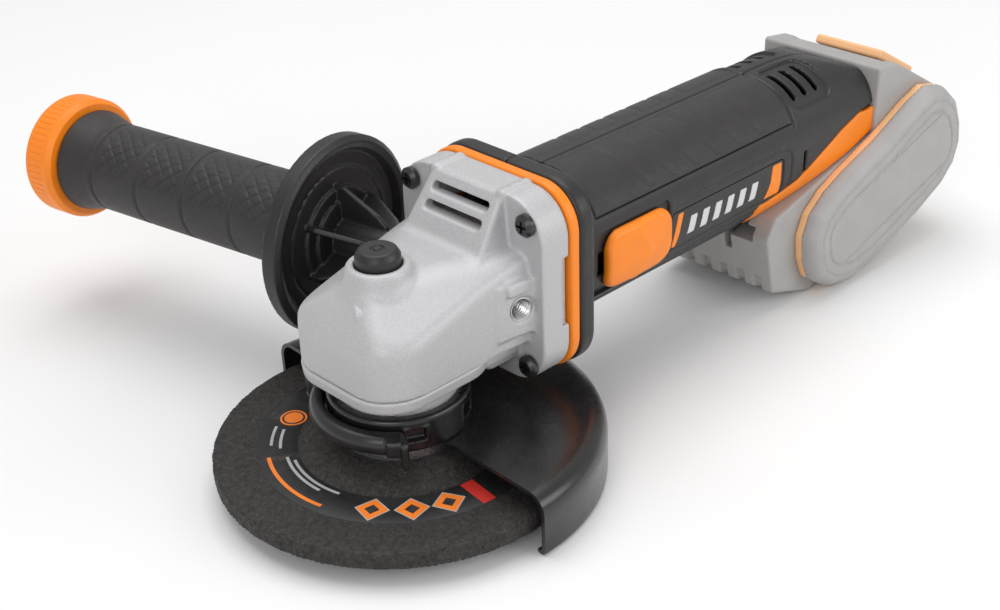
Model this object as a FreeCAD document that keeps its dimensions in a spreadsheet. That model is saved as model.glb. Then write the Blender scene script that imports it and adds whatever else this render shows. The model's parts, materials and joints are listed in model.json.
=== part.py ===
import FreeCAD, Part
import math
import os
import Sketcher

# Cordless angle grinder, in millimetres.
# Frame: origin at the free lower end of the output spindle, on its axis.
# +Z is up the spindle, +X runs back along the motor and handle to the battery,
# +Y points to the side handle.

Vector = FreeCAD.Vector
Rotation = FreeCAD.Rotation

doc = FreeCAD.newDocument("angle_grinder")
sheet = doc.addObject("Spreadsheet::Sheet", "sizes")

# ---------------------------------------------------------------- driving sizes
# Heights called "_height" or "_level" are measured up from the upper face of the wheel's rim.
SIZES = {
    # fits between pieces
    "fit_gap": 0.03,            # pieces fixed together
    "run_gap": 0.05,            # shafts and pins in their bores
    "part_gap": 0.4,            # pieces that pass each other
    "hole_gap": 0.2,            # screws in clearance holes
    # grinding wheel with a depressed centre
    "wheel_dia": 125.0,
    "wheel_thick": 6.0,
    "wheel_bore": 22.2,
    "hub_rise": 4.6,            # how far the centre stands above the rim
    "hub_flat_dia": 46.0,
    "hub_foot_dia": 68.0,
    # spindle and its flanges
    "tip_drop": 10.0,           # spindle end below the rim's upper face
    "tip_dia": 12.4,            # plain pilot below the thread
    "tip_long": 2.2,
    "thread_dia": 14.0,
    "shoulder_dia": 18.0,
    "journal_dia": 12.0,
    "pilot_dia": 8.0,
    "inner_flange_dia": 42.0,
    "inner_flange_thick": 4.0,
    "flange_boss": 1.6,         # boss that centres the wheel's bore
    "nut_dia": 40.0,
    "nut_thick": 6.0,
    "nut_pin_dia": 4.8,
    "nut_pin_circle": 30.0,
    # bevel gears
    "motor_height": 48.5,       # motor axis
    "crown_teeth": 36.0,
    "pinion_teeth": 12.0,
    "tooth_inner": 12.0,        # inner radius of the crown's tooth ring
    "tooth_outer": 20.0,
    "addendum": 0.9,
    "dedendum": 1.15,
    "tooth_share": 0.40,        # share of the pitch that one tooth fills
    "crown_level": 34.0,        # underside of the crown gear's hub
    "crown_rim": 5.5,           # metal under the crown's teeth at the outside
    "lock_circle": 19.0,        # pitch circle of the crown's four lock holes
    "lock_pin_dia": 3.8,
    "lock_hole_dia": 4.4,
    # gear case
    "head_half": 26.0,
    "nose_reach": 27.0,
    "head_corner": 16.0,
    "seam_level": 32.0,
    "brow_level": 45.0,
    "head_level": 63.0,
    "chamber_dia": 43.0,
    "flange_half": 33.0,
    "flange_corner": 14.0,
    "flange_front": 34.0,
    "flange_rear": 47.0,
    "flare_front": 21.0,
    "hump_half": 17.0,
    "hump_front": 22.0,
    "hump_ridge": 34.0,
    "slot_half": 13.0,
    "slot_high": 2.8,
    "slot_low_level": 70.0,
    "slot_top_level": 75.2,
    "fan_room_dia": 50.0,
    "fan_room_front": 38.0,
    "case_screw_half_y": 26.7,
    "case_screw_half_z": 25.55,
    "case_screw_dia": 4.0,
    "case_screw_head": 7.6,
    "case_screw_long": 25.0,
    "case_screw_recess": 12.6,
    # cover under the gear case, with the neck that carries the wheel guard
    "cover_thick": 4.5,
    "neck_dia": 40.0,
    "neck_level": 10.4,
    "cover_screw_half": 17.6,
    "cover_screw_dia": 4.0,
    "cover_screw_head": 6.6,
    "cover_screw_long": 14.0,
    "cover_head_tall": 2.2,
    # bearings: outside, bore, width
    "low_bearing_dia": 28.0,
    "low_bearing_wide": 8.0,
    "low_bearing_level": 18.2,
    "bush_dia": 13.0,
    "bush_long": 7.0,
    "bush_level": 50.0,
    "front_bearing_dia": 22.0,
    "front_bearing_wide": 7.0,
    "front_bearing_x": 26.0,
    "rear_bearing_dia": 19.0,
    "rear_bearing_wide": 6.0,
    # sockets for the side handle
    "socket_x": 30.1,
    "socket_y": 28.0,
    "socket_level": 46.0,
    "socket_tilt": 10.5,        # degrees that the handle leans forward
    "socket_dia": 8.0,
    "socket_deep": 13.0,
    "socket_boss": 17.0,
    # spindle lock
    "button_x": -4.4,
    "button_dia": 14.6,
    "button_level": 64.9,
    "button_tall": 6.7,
    "button_boss_dia": 20.0,
    "button_boss_tall": 3.6,
    "lock_pin_x": -9.5,
    "lock_travel": 3.0,
    "spring_dia": 6.4,
    "spring_wire": 0.7,
    "spring_turns": 3.5,
    "spring_seat": 2.0,         # pocket under the button that the spring stands in
    "spring_x": -3.2,
    # wheel guard, its clamp and its lever
    "guard_gap": 4.0,           # between the wheel's edge and the guard's skirt
    "guard_wall": 1.5,
    "guard_level": 9.2,
    "guard_drop": 12.0,         # skirt below the rim's upper face
    "guard_lip": 3.4,
    "guard_round": 6.5,
    "guard_start": -92.0,       # degrees, where the guard begins
    "guard_sweep": 180.0,
    "guard_swing": 60.0,
    "clamp_dia": 47.2,
    "clamp_top": 21.0,
    "lever_gap": 1.0,
    "lever_thick": 5.0,
    "lever_low": 11.6,
    "lever_high": 18.6,
    "lever_end": 232.0,         # degrees, where the lever's tab sits
    "hinge_angle": 112.0,
    "hinge_reach": 6.4,         # from the band to the hinge pin
    "hinge_eye_dia": 9.0,
    "hinge_pin_dia": 4.0,
    # motor
    "shaft_dia": 8.0,
    "pinion_bore": 5.0,
    "pinion_front": 12.0,
    "shaft_front": 14.5,
    "can_dia": 43.0,
    "can_wall": 2.0,
    "can_front": 53.0,
    "can_long": 59.0,
    "magnet_thick": 3.6,
    "magnet_sweep": 130.0,
    "armature_gap": 0.4,        # air gap between the armature and the magnets
    "armature_front": 62.0,
    "armature_long": 36.0,
    "commutator_dia": 18.0,
    "commutator_long": 9.0,
    "fan_dia": 47.0,
    "fan_front": 39.4,
    "fan_long": 6.4,
    "fan_blades": 9.0,
    "end_bell_long": 19.0,
    # handle
    "ring_thick": 4.0,
    "collar_long": 7.0,
    "collar_half": 34.0,
    "collar_corner": 15.0,
    "grip_half": 27.0,
    "grip_low": 22.0,           # underside of the grip
    "grip_high": 76.0,
    "grip_corner": 23.0,
    "shoulder_x": 190.0,
    "tail_x": 228.0,
    "tail_half": 26.0,
    "tail_high": 71.5,
    "tail_corner": 18.0,
    "wall": 2.6,
    "soft_thick": 1.5,
    "soft_front": 68.0,
    "soft_rear": 176.0,
    "soft_level": 62.7,
    "plate_front": 104.0,
    "plate_rear": 169.0,
    "plate_low": 36.9,
    "plate_high": 52.0,
    "plate_thick": 1.0,
    "trim_thick": 1.5,
    # slide switch
    "switch_front": 70.0,
    "switch_rear": 103.0,
    "switch_low": 35.0,
    "switch_high": 57.0,
    "switch_proud": 3.2,
    "switch_travel": 8.0,
    "switch_neck_half": 4.0,
    # battery interface: a slope that rises to the rear
    "slope": 15.0,
    "slope_back": 63.0,         # from the slope's start to the tail
    "slope_level": 27.5,
    "rail_long": 57.0,
    "rail_wide": 40.0,
    "rail_neck": 32.0,
    "rail_tall": 8.0,
    "blade_y": 8.0,
    "blade_thick": 0.8,
    # battery
    "pack_half": 38.0,
    "cheek_thick": 7.0,
    "band_thick": 3.2,
    "cell_dia": 18.2,
    "cell_long": 65.0,
    "cell_pitch": 18.6,
    "pack_button_half": 16.0,
    "pack_button_thick": 4.0,
    "pack_button_travel": 3.0,
    # side handle, measured out from the socket's face
    "stud_long": 60.0,
    "sleeve_start": 5.0,
    "sleeve_dia": 14.0,
    "shield_at": 29.0,
    "shield_thick": 3.4,
    "shield_dia": 72.0,
    "shield_hub_dia": 32.0,
    "side_grip_dia": 34.0,
    "side_grip_end": 153.8,
    "flare_dia": 39.8,
    "cap_dia": 47.0,
    "cap_long": 15.0,
}


class Size:
    """A length or angle that carries its formula in the sheet's names along with its value."""

    def __init__(self, text, value):
        self.text = text
        self.value = value

    def _join(self, sign, other, value):
        return Size("(%s %s %s)" % (self.text, sign, other.text), value)

    def __add__(self, other):
        other = as_size(other)
        return self._join("+", other, self.value + other.value)

    def __sub__(self, other):
        other = as_size(other)
        return self._join("-", other, self.value - other.value)

    def __mul__(self, other):
        other = as_size(other)
        return self._join("*", other, self.value * other.value)

    def __truediv__(self, other):
        other = as_size(other)
        return self._join("/", other, self.value / other.value)

    def __radd__(self, other):
        return as_size(other) + self

    def __rsub__(self, other):
        return as_size(other) - self

    def __rmul__(self, other):
        return as_size(other) * self

    def __neg__(self):
        return as_size(0) - self


class Sheet:
    """The driving sizes by name, each one a Size bound to its cell."""


def as_size(number):
    """A plain number as a Size, so that both kinds mix in formulas."""
    return number if isinstance(number, Size) else Size("(%s)" % float(number), float(number))


def root(size):
    return Size("sqrt(%s)" % size.text, math.sqrt(size.value))


def sine(size):
    return Size("sin(%s)" % size.text, math.sin(math.radians(size.value)))


def cosine(size):
    return Size("cos(%s)" % size.text, math.cos(math.radians(size.value)))


def fill_sheet():
    """Writes each driving size into its own cell, with its name as the alias."""
    for row, (alias, value) in enumerate(SIZES.items(), start=1):
        sheet.set("A%d" % row, alias)
        sheet.set("B%d" % row, "%g" % value)
        sheet.setAlias("B%d" % row, alias)
    doc.recompute()
    driving = Sheet()
    for alias in SIZES:
        setattr(driving, alias, Size("sizes." + alias, float(sheet.get(alias))))
    return driving


d = fill_sheet()

# ---------------------------------------------------------------- helpers
TURNS = {
    "z": Rotation(),
    "x": Rotation(Vector(0, 0, 1), Vector(1, 0, 0)),
    "y": Rotation(Vector(0, 0, 1), Vector(0, 1, 0)),
}


def bind(thing, path, size):
    thing.setExpression(path, as_size(size).text)


def place(thing, at=(0, 0, 0), turn=None):
    """Turns a piece, then ties its place to the sheet."""
    if turn is not None:
        thing.Placement = FreeCAD.Placement(Vector(), turn)
    for axis, size in zip("xyz", at):
        bind(thing, "Placement.Base." + axis, size)
    return thing


def free(thing):
    """Unties a piece's place, for one that is set on a tilted axis instead."""
    for axis in "xyz":
        thing.setExpression("Placement.Base." + axis, None)
    return thing


def rod(name, radius, length, at=(0, 0, 0), along="z"):
    """A cylinder that starts at a point and runs along an axis."""
    thing = doc.addObject("Part::Cylinder", name)
    bind(thing, "Radius", radius)
    bind(thing, "Height", length)
    return place(thing, at, TURNS[along])


def block(name, low, high):
    """A box between two opposite corners."""
    thing = doc.addObject("Part::Box", name)
    for path, a, b in zip(("Length", "Width", "Height"), low, high):
        bind(thing, path, as_size(b) - a)
    return place(thing, low)


def join(name, *pieces):
    thing = doc.addObject("Part::MultiFuse", name)
    thing.Shapes = list(pieces)
    return thing


def shared(name, *pieces):
    thing = doc.addObject("Part::MultiCommon", name)
    thing.Shapes = list(pieces)
    return thing


def cut(name, base, *tools):
    """The base with every tool taken away."""
    thing = doc.addObject("Part::Cut", name)
    thing.Base = base
    thing.Tool = tools[0] if len(tools) == 1 else join(name + "_tools", *tools)
    return thing


def new_body(name):
    return doc.addObject("PartDesign::Body", name)


def new_sketch(body, name, role, offset=0):
    """An empty sketch on one of the body's own origin planes."""
    sketch = body.newObject("Sketcher::SketchObject", name)
    plane = next(f for f in body.Origin.OriginFeatures if f.Role == role)
    sketch.AttachmentSupport = [(plane, "")]
    sketch.MapMode = "FlatFace"
    bind(sketch, "AttachmentOffset.Base.z", offset)
    return sketch


def pin_point(sketch, edge, point, across, up):
    """Ties one point of a sketch edge to the sheet."""
    for kind, size in (("DistanceX", as_size(across)), ("DistanceY", as_size(up))):
        index = sketch.addConstraint(Sketcher.Constraint(kind, -1, 1, edge, point, size.value))
        sketch.setExpression("Constraints[%d]" % index, size.text)


def pin_radius(sketch, edge, radius):
    radius = as_size(radius)
    index = sketch.addConstraint(Sketcher.Constraint("Radius", edge, radius.value))
    sketch.setExpression("Constraints[%d]" % index, radius.text)


def draw_outline(sketch, points):
    """A closed outline through points, each tied to the sheet.

    A point with a third and fourth value starts an arc about that centre instead of a line.
    """
    points = [tuple(as_size(value) for value in point) for point in points]
    count = len(points)
    edges = []
    for index, point in enumerate(points):
        following = points[(index + 1) % count]
        start, end = (Vector(p[0].value, p[1].value, 0) for p in (point, following))
        if len(point) == 2:
            edges.append((sketch.addGeometry(Part.LineSegment(start, end)), 1, 2))
            continue
        centre = Vector(point[2].value, point[3].value, 0)
        first, last = (math.atan2(*(p - centre)[1::-1]) for p in (start, end))
        forward = (last - first) % (2 * math.pi) < math.pi
        circle = Part.Circle(centre, Vector(0, 0, 1), (start - centre).Length)
        limits = (first, last) if forward else (last, first)
        arc = sketch.addGeometry(Part.ArcOfCircle(circle, *limits))
        edges.append((arc, 1, 2) if forward else (arc, 2, 1))
        reach_x, reach_y = point[0] - point[2], point[1] - point[3]
        pin_radius(sketch, arc, root(reach_x * reach_x + reach_y * reach_y))
    for (edge, start, end), (after, after_start, _), point in zip(edges, edges[1:] + edges[:1], points):
        sketch.addConstraint(Sketcher.Constraint("Coincident", edge, end, after, after_start))
        pin_point(sketch, edge, start, point[0], point[1])


def draw_rounded(sketch, across, up, radius):
    """A rectangle between two limits each way, with round corners."""
    x_low, x_high = (as_size(limit) for limit in across)
    y_low, y_high = (as_size(limit) for limit in up)
    radius = as_size(radius)
    centres = [
        (x_high - radius, y_low + radius),
        (x_high - radius, y_high - radius),
        (x_low + radius, y_high - radius),
        (x_low + radius, y_low + radius),
    ]
    arcs = []
    for quarter, (x, y) in enumerate(centres):
        circle = Part.Circle(Vector(x.value, y.value, 0), Vector(0, 0, 1), radius.value)
        start = math.radians(90 * quarter - 90)
        arc = sketch.addGeometry(Part.ArcOfCircle(circle, start, start + math.pi / 2))
        pin_point(sketch, arc, 3, x, y)
        pin_radius(sketch, arc, radius)
        arcs.append(arc)
    for arc, following in zip(arcs, arcs[1:] + arcs[:1]):
        ends = sketch.getPoint(arc, 2), sketch.getPoint(following, 1)
        side = sketch.addGeometry(Part.LineSegment(*ends))
        sketch.addConstraint(Sketcher.Constraint("Tangent", arc, 2, side, 1))
        sketch.addConstraint(Sketcher.Constraint("Tangent", side, 2, following, 1))


def turned(name, profile, at=(0, 0, 0), along="z", start=0, sweep=360):
    """A body of revolution from (radius, height) points about its own Z axis."""
    body = new_body(name)
    sketch = new_sketch(body, name + "_profile", "XZ_Plane")
    draw_outline(sketch, profile)
    turn = body.newObject("PartDesign::Revolution", name + "_turn")
    turn.Profile = sketch
    turn.ReferenceAxis = (sketch, ["V_Axis"])
    bind(turn, "Angle", sweep)
    spin = Rotation(Vector(0, 0, 1), as_size(start).value)
    return place(body, at, TURNS[along] * spin)


def slab(name, role, points, thickness, at=(0, 0, 0), turn=None):
    """A polygon padded to both sides of its plane."""
    body = new_body(name)
    sketch = new_sketch(body, name + "_outline", role)
    draw_outline(sketch, points)
    pad = body.newObject("PartDesign::Pad", name + "_pad")
    pad.Profile = sketch
    pad.Midplane = True
    bind(pad, "Length", thickness)
    return place(body, at, turn)


def plate(name, role, across, up, radius, low, high):
    """A rounded rectangle padded from one level to another."""
    body = new_body(name)
    sketch = new_sketch(body, name + "_outline", role, low)
    draw_rounded(sketch, across, up, radius)
    pad = body.newObject("PartDesign::Pad", name + "_pad")
    pad.Profile = sketch
    bind(pad, "Length", as_size(high) - low)
    return body


def lofted(name, role, sections):
    """A straight loft through rounded rectangles: (offset, across, up, radius) each."""
    body = new_body(name)
    sketches = []
    for number, (offset, across, up, radius) in enumerate(sections):
        sketch = new_sketch(body, "%s_section_%d" % (name, number), role, offset)
        draw_rounded(sketch, across, up, radius)
        sketches.append(sketch)
    loft = body.newObject("PartDesign::AdditiveLoft", name + "_loft")
    loft.Profile = sketches[0]
    loft.Sections = sketches[1:]
    loft.Ruled = True
    return body


def soften(body, radius, choose):
    """Rounds the edges that choose picks on the body as it stands."""
    doc.recompute()
    base = body.Tip
    names = ["Edge%d" % number for number, edge in enumerate(base.Shape.Edges, 1) if choose(edge)]
    fillet = body.newObject("PartDesign::Fillet", body.Name + "_round")
    fillet.Base = (base, names)
    bind(fillet, "Radius", radius)
    return body


NODES = []


def keep(thing, label):
    """Marks a finished sub-part and gives it its name."""
    thing.Label = label
    NODES.append(thing)
    return thing


# ---------------------------------------------------------------- shared places
rim = d.tip_drop                                  # height of the rim's upper face
axis_z = rim + d.motor_height                     # height of the motor axis
hinge_radius = d.clamp_dia / 2 + d.hinge_reach     # the lever's pin, from the spindle axis
slope_x = d.tail_x - d.slope_back                  # where the battery slope starts
hub_top = rim + d.hub_rise
flange_top = hub_top + d.inner_flange_thick
seam_z = rim + d.seam_level
cover_low = seam_z - d.cover_thick
neck_low = rim + d.neck_level
ring_rear = d.flange_rear + d.ring_thick
collar_rear = ring_rear + d.collar_long
cone = d.pinion_teeth / d.crown_teeth             # pinion radius per crown radius
socket_z = rim + d.socket_level
CASE_SCREW_SIDES = [(y, z) for y in (-1, 1) for z in (-1, 1)]


def case_screw_places(x):
    """The four places of the gear case's screws at one station along X."""
    return [
        (x, side * d.case_screw_half_y, axis_z + rise * d.case_screw_half_z)
        for side, rise in CASE_SCREW_SIDES
    ]


def cover_screw_places(z):
    """The four places of the cover's screws at one height."""
    half = d.cover_screw_half
    return [(x * half, y * half, z) for x in (-1, 1) for y in (-1, 1)]


# ---------------------------------------------------------------- wheel and spindle
def make_wheel():
    bore = d.wheel_bore / 2
    flat = d.hub_flat_dia / 2
    foot = d.hub_foot_dia / 2
    edge = d.wheel_dia / 2
    low = rim - d.wheel_thick
    keep(turned("wheel", [
        (bore, low + d.hub_rise), (flat, low + d.hub_rise), (foot, low), (edge, low),
        (edge, rim), (foot, rim), (flat, hub_top), (bore, hub_top),
    ]), "grinding_wheel")


def make_spindle():
    thread = d.thread_dia / 2
    shoulder = d.shoulder_dia / 2
    journal = d.journal_dia / 2
    pilot = d.pilot_dia / 2
    shoulder_top = rim + d.low_bearing_level - d.part_gap
    keep(turned("spindle", [
        (0, 0), (d.tip_dia / 2, 0), (d.tip_dia / 2, d.tip_long), (thread, d.tip_long + 0.8), (thread, flange_top),
        (shoulder, flange_top), (shoulder, shoulder_top), (journal, shoulder_top),
        (journal, rim + d.brow_level), (pilot, rim + d.brow_level + 1),
        (pilot, rim + d.bush_level + d.bush_long), (0, rim + d.bush_level + d.bush_long),
    ]), "spindle")


def make_flanges():
    """The two flanges that squeeze the wheel: one on the shoulder, one a round nut."""
    thread = d.thread_dia / 2 + d.fit_gap
    boss = d.wheel_bore / 2 - d.run_gap
    outer = d.inner_flange_dia / 2
    keep(turned("inner_flange_blank", [
        (thread, hub_top - d.flange_boss), (boss, hub_top - d.flange_boss), (boss, hub_top),
        (outer, hub_top), (outer, flange_top - 1), (outer - 1, flange_top), (thread, flange_top),
    ]), "inner_flange")
    top = hub_top - d.wheel_thick
    low = top - d.nut_thick
    edge = d.nut_dia / 2
    nut = turned("nut_blank", [
        (thread, low), (edge - 4, low), (edge, low + 3), (edge, top), (boss, top),
        (boss, top + d.flange_boss), (thread, top + d.flange_boss),
    ])
    pins = [
        rod("nut_hole", d.nut_pin_dia / 2, 4, (x * d.nut_pin_circle / 2, y * d.nut_pin_circle / 2, low - 1))
        for x, y in ((1, 0), (0, 1), (-1, 0), (0, -1))
    ]
    keep(cut("nut", nut, *pins), "flange_nut")


# ---------------------------------------------------------------- bevel gears
def tooth_loft(name, level_of, half_of, near, far, turn):
    """One straight bevel tooth: two trapezoids across +X, joined by a loft.

    level_of gives (root, tip) heights and half_of (root, tip) half widths at a radius.
    """
    body = new_body(name)
    sketches = []
    for number, radius in enumerate((near, far)):
        sketch = new_sketch(body, "%s_end_%d" % (name, number), "YZ_Plane", radius)
        root_level, tip_level = level_of(radius)
        root_half, tip_half = half_of(radius)
        draw_outline(sketch, [
            (-root_half, root_level), (root_half, root_level),
            (tip_half, tip_level), (-tip_half, tip_level),
        ])
        sketches.append(sketch)
    loft = body.newObject("PartDesign::AdditiveLoft", name + "_loft")
    loft.Profile = sketches[0]
    loft.Sections = sketches[1:]
    loft.Ruled = True
    place(body, (0, 0, 0), turn)
    return body


def ring_of(name, piece, count, axis, first=0.0):
    """Copies of one piece, evenly spaced about an axis through the origin."""
    doc.recompute()
    copies = []
    for number in range(count):
        shape = piece.Shape.copy()
        shape.rotate(Vector(), axis, first + 360.0 * number / count)
        copies.append(shape)
    thing = doc.addObject("Part::Feature", name)
    thing.Shape = Part.Compound(copies)
    return thing


def make_crown_gear():
    """Bevel crown: a hub on the spindle, four lock holes and a ring of radial teeth."""
    inner, outer = d.tooth_inner, d.tooth_outer
    bore = d.journal_dia / 2 + d.fit_gap
    base = rim + d.crown_level
    web_top = axis_z - inner * cone - d.dedendum - 1.2

    def pitch_level(radius):
        return axis_z - radius * cone

    def levels(radius):
        return pitch_level(radius) - d.dedendum - 0.3, pitch_level(radius) + d.addendum

    def halves(radius):
        half = radius * math.pi / d.crown_teeth * d.tooth_share
        return half * 1.45, half * 0.6

    blank = turned("crown_blank", [
        (bore, base), (inner - 1, base), (outer, pitch_level(outer) - d.dedendum - d.crown_rim),
        (outer, pitch_level(outer) - d.dedendum), (inner, pitch_level(inner) - d.dedendum),
        (inner, web_top), (bore, web_top),
    ])
    tooth = tooth_loft("crown_tooth", levels, halves, inner, outer, Rotation())
    count = int(d.crown_teeth.value)
    teeth = ring_of("crown_teeth_ring", tooth, count, Vector(0, 0, 1), 180.0 / count)
    reach = d.lock_circle / 2
    holes = [
        rod("lock_hole", d.lock_hole_dia / 2, 20, (x * reach, y * reach, base - 1))
        for x, y in ((1, 0), (0, 1), (-1, 0), (0, -1))
    ]
    keep(cut("crown", join("crown_solid", blank, teeth), *holes), "crown_gear")


def make_pinion():
    """Bevel pinion on the motor shaft, in mesh with the crown straight above its near side."""
    inner, outer = d.pinion_front, d.tooth_outer

    def levels(radius):
        return radius * cone - d.dedendum - 0.3, radius * cone + d.addendum

    def halves(radius):
        half = radius * cone * math.pi / d.pinion_teeth * d.tooth_share
        return half * 1.45, half * 0.6

    blank = turned("pinion_blank", [
        (0, inner), (inner * cone - d.dedendum, inner), (outer * cone - d.dedendum, outer),
        (outer * cone - d.dedendum, outer + 3), (0, outer + 3),
    ])
    blank.Placement = FreeCAD.Placement(Vector(), TURNS["x"])
    tooth = tooth_loft("pinion_tooth", levels, halves, inner, outer, Rotation())
    count = int(d.pinion_teeth.value)
    teeth = ring_of("pinion_teeth_ring", tooth, count, Vector(1, 0, 0))
    bore = rod("pinion_bore_tool", d.pinion_bore / 2, 20, (d.shaft_front, 0, 0), "x")
    pinion = cut("pinion", join("pinion_solid", blank, teeth), bore)
    keep(place(pinion, (0, 0, axis_z)), "pinion_gear")


# ---------------------------------------------------------------- gear case
def socket_line(side):
    """Centre of a handle socket's face and the direction that its handle points."""
    lean = math.radians(d.socket_tilt.value)
    face = Vector(d.socket_x.value, side * d.socket_y.value, socket_z.value)
    return face, Vector(-math.sin(lean), side * math.cos(lean), 0)


def along_socket(thing, side, start):
    """Sets a piece on a socket's axis, start millimetres out from its face."""
    face, out = socket_line(side)
    free(thing)
    thing.Placement = FreeCAD.Placement(face + out * as_size(start).value, Rotation(Vector(0, 0, 1), out))
    return thing


def make_gear_case():
    half = d.head_half
    flange_span = (axis_z - d.flange_half, axis_z + d.flange_half)
    flange_wide = (-d.flange_half, d.flange_half)
    top = rim + d.head_level
    side = slab("case_side", "XZ_Plane", [
        (-d.nose_reach, seam_z), (-d.nose_reach, rim + d.brow_level),
        (-d.nose_reach + 4, rim + d.brow_level + 7), (-d.nose_reach + 13, top - 3),
        (d.button_x - 6, top), (12, top + 1), (d.flange_front + 2, top + 1),
        (d.flange_front + 2, seam_z),
    ], half * 2)
    plan = plate("case_plan", "XY_Plane", (-d.nose_reach, d.flange_front + 20), (-half, half),
                 d.head_corner, seam_z, axis_z + d.flange_half)
    head = shared("case_head", side, plan)
    flare = lofted("case_flare", "YZ_Plane", [
        (d.flare_front, (-half + 2, half - 2), (seam_z, top), 8),
        (d.flange_front + 1, flange_wide, flange_span, d.flange_corner),
    ])
    flange = plate("case_flange", "YZ_Plane", flange_wide, flange_span, d.flange_corner,
                   d.flange_front, d.flange_rear)
    hump_high = flange_span[1]
    hump = slab("case_hump", "XZ_Plane", [
        (d.hump_front - 4, top - 4), (d.hump_front, top + 1), (d.hump_ridge, hump_high),
        (d.flange_rear, hump_high), (d.flange_rear, top - 4),
    ], d.hump_half * 2)
    ribs = [
        slab("case_rib", "XZ_Plane", [
            (d.hump_ridge - 1, hump_high - 2), (d.hump_ridge + 1, hump_high + 0.8),
            (d.flange_rear, hump_high + 0.8), (d.flange_rear, hump_high - 2),
        ], 2.4, (0, y * (d.hump_half - 1.2), 0))
        for y in (-1, 1)
    ]
    bosses = [along_socket(rod("socket_boss_rod", d.socket_boss / 2, 14), y, -14) for y in (-1, 1)]
    button_boss = turned("button_boss", [
        (0, top - 6), (d.button_boss_dia / 2 + 3, top - 6), (d.button_boss_dia / 2, top + d.button_boss_tall - 1),
        (d.button_boss_dia / 2 - 1, top + d.button_boss_tall), (0, top + d.button_boss_tall),
    ], (d.button_x, 0, 0))
    solid = join("case_solid", head, flare, flange, hump, button_boss, *ribs, *bosses)

    cover_room = block("cover_room", (-60, -60, 0), (half + d.hole_gap, 60, seam_z))
    chamber_top = rim + d.bush_level - 3.2
    chamber = rod("chamber", d.chamber_dia / 2, chamber_top - seam_z + 1, (0, 0, seam_z - 1))
    bush_seat = rod("bush_seat", d.bush_dia / 2 + d.fit_gap, d.bush_long + 3.5 + d.part_gap,
                    (0, 0, chamber_top - 0.1))
    tunnel = rod("pinion_tunnel", 8.3, d.front_bearing_x - 6, (6, 0, axis_z), "x")
    bearing_seat = rod("front_seat", d.front_bearing_dia / 2 + d.fit_gap, d.front_bearing_wide,
                       (d.front_bearing_x, 0, axis_z), "x")
    shaft_hole = rod("shaft_hole", 7, 12, (d.front_bearing_x + d.front_bearing_wide - 1, 0, axis_z), "x")
    fan_room = rod("fan_room", d.fan_room_dia / 2, 20, (d.fan_room_front, 0, axis_z), "x")
    hump_room = slab("hump_room", "XZ_Plane", [
        (d.hump_front + 6.5, top + 3), (d.hump_ridge + 1, hump_high - 3.5),
        (d.flange_rear + 1, hump_high - 3.5), (d.flange_rear + 1, top + 3),
    ], (d.hump_half - 3) * 2)
    slots = [
        block("air_slot", (d.hump_front - 5, -d.slot_half, rim + level),
              (d.hump_ridge + 3, d.slot_half, rim + level + d.slot_high))
        for level in (d.slot_low_level, d.slot_top_level)
    ]
    well_floor = rim + d.button_level - d.lock_travel - d.part_gap
    button_well = rod("button_well", d.button_dia / 2 + d.part_gap, 20, (d.button_x, 0, well_floor))
    spring_well = rod("spring_well", d.spring_dia / 2 + d.hole_gap, d.spring_seat + 1,
                      (d.spring_x, 0, well_floor - d.spring_seat))
    pin_hole = rod("pin_hole", d.lock_pin_dia / 2 + d.run_gap, 30, (d.lock_pin_x, 0, chamber_top - 1))
    sockets = [along_socket(rod("socket_hole", d.socket_dia / 2, d.socket_deep + 5), y, -d.socket_deep)
               for y in (-1, 1)]
    spot_faces = [along_socket(rod("socket_spot_face", d.socket_boss / 2, 10), y, 0) for y in (-1, 1)]
    recesses = [rod("screw_recess", d.case_screw_recess / 2, 60, place_, "x")
                for place_ in case_screw_places(d.flange_front - 60)]
    screw_holes = [rod("screw_hole", d.case_screw_dia / 2 + d.hole_gap, 40, place_, "x")
                   for place_ in case_screw_places(d.flange_front - 5)]
    cover_holes = [rod("cover_hole", d.cover_screw_dia / 2 + d.run_gap, d.cover_screw_long - d.cover_thick + 1,
                       place_) for place_ in cover_screw_places(seam_z)]
    notches = [
        block("side_notch", (d.flange_rear - 4, y * d.flange_half - 1.6, axis_z - 13),
              (d.flange_rear + 1, y * d.flange_half + 1.6, axis_z + 12))
        for y in (-1, 1)
    ]
    keep(cut("case", solid, cover_room, chamber, bush_seat, tunnel, bearing_seat, shaft_hole, fan_room, hump_room,
             *slots, button_well, spring_well, pin_hole, *sockets, *spot_faces, *recesses, *screw_holes, *cover_holes, *notches),
         "gear_case")


def make_cover():
    """Plate under the gear case, with the neck that holds the spindle bearing."""
    half = d.head_half
    plan = plate("cover_plan", "XY_Plane", (-d.nose_reach, half), (-half, half),
                 d.head_corner, cover_low, seam_z)
    seat = rim + d.low_bearing_level
    neck = rod("neck", d.neck_dia / 2, cover_low - neck_low + 1, (0, 0, neck_low))
    lugs = [rod("cover_lug", d.cover_screw_head / 2 + 1.4, 2, place_)
            for place_ in cover_screw_places(cover_low - 1.2)]
    bearing_seat = rod("low_seat", d.low_bearing_dia / 2 + d.fit_gap, 40, (0, 0, seat))
    throat = rod("throat", d.shoulder_dia / 2 + 1, 40, (0, 0, neck_low - 1))
    holes = [rod("lug_hole", d.cover_screw_dia / 2 + d.run_gap, 20, place_)
             for place_ in cover_screw_places(cover_low - 5)]
    heads = [rod("lug_seat", d.cover_screw_head / 2 + d.hole_gap, 5, place_)
             for place_ in cover_screw_places(cover_low - 5)]
    keep(cut("cover", join("cover_solid", plan, neck, *lugs), bearing_seat, throat, *holes, *heads),
         "gear_case_cover")


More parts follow.
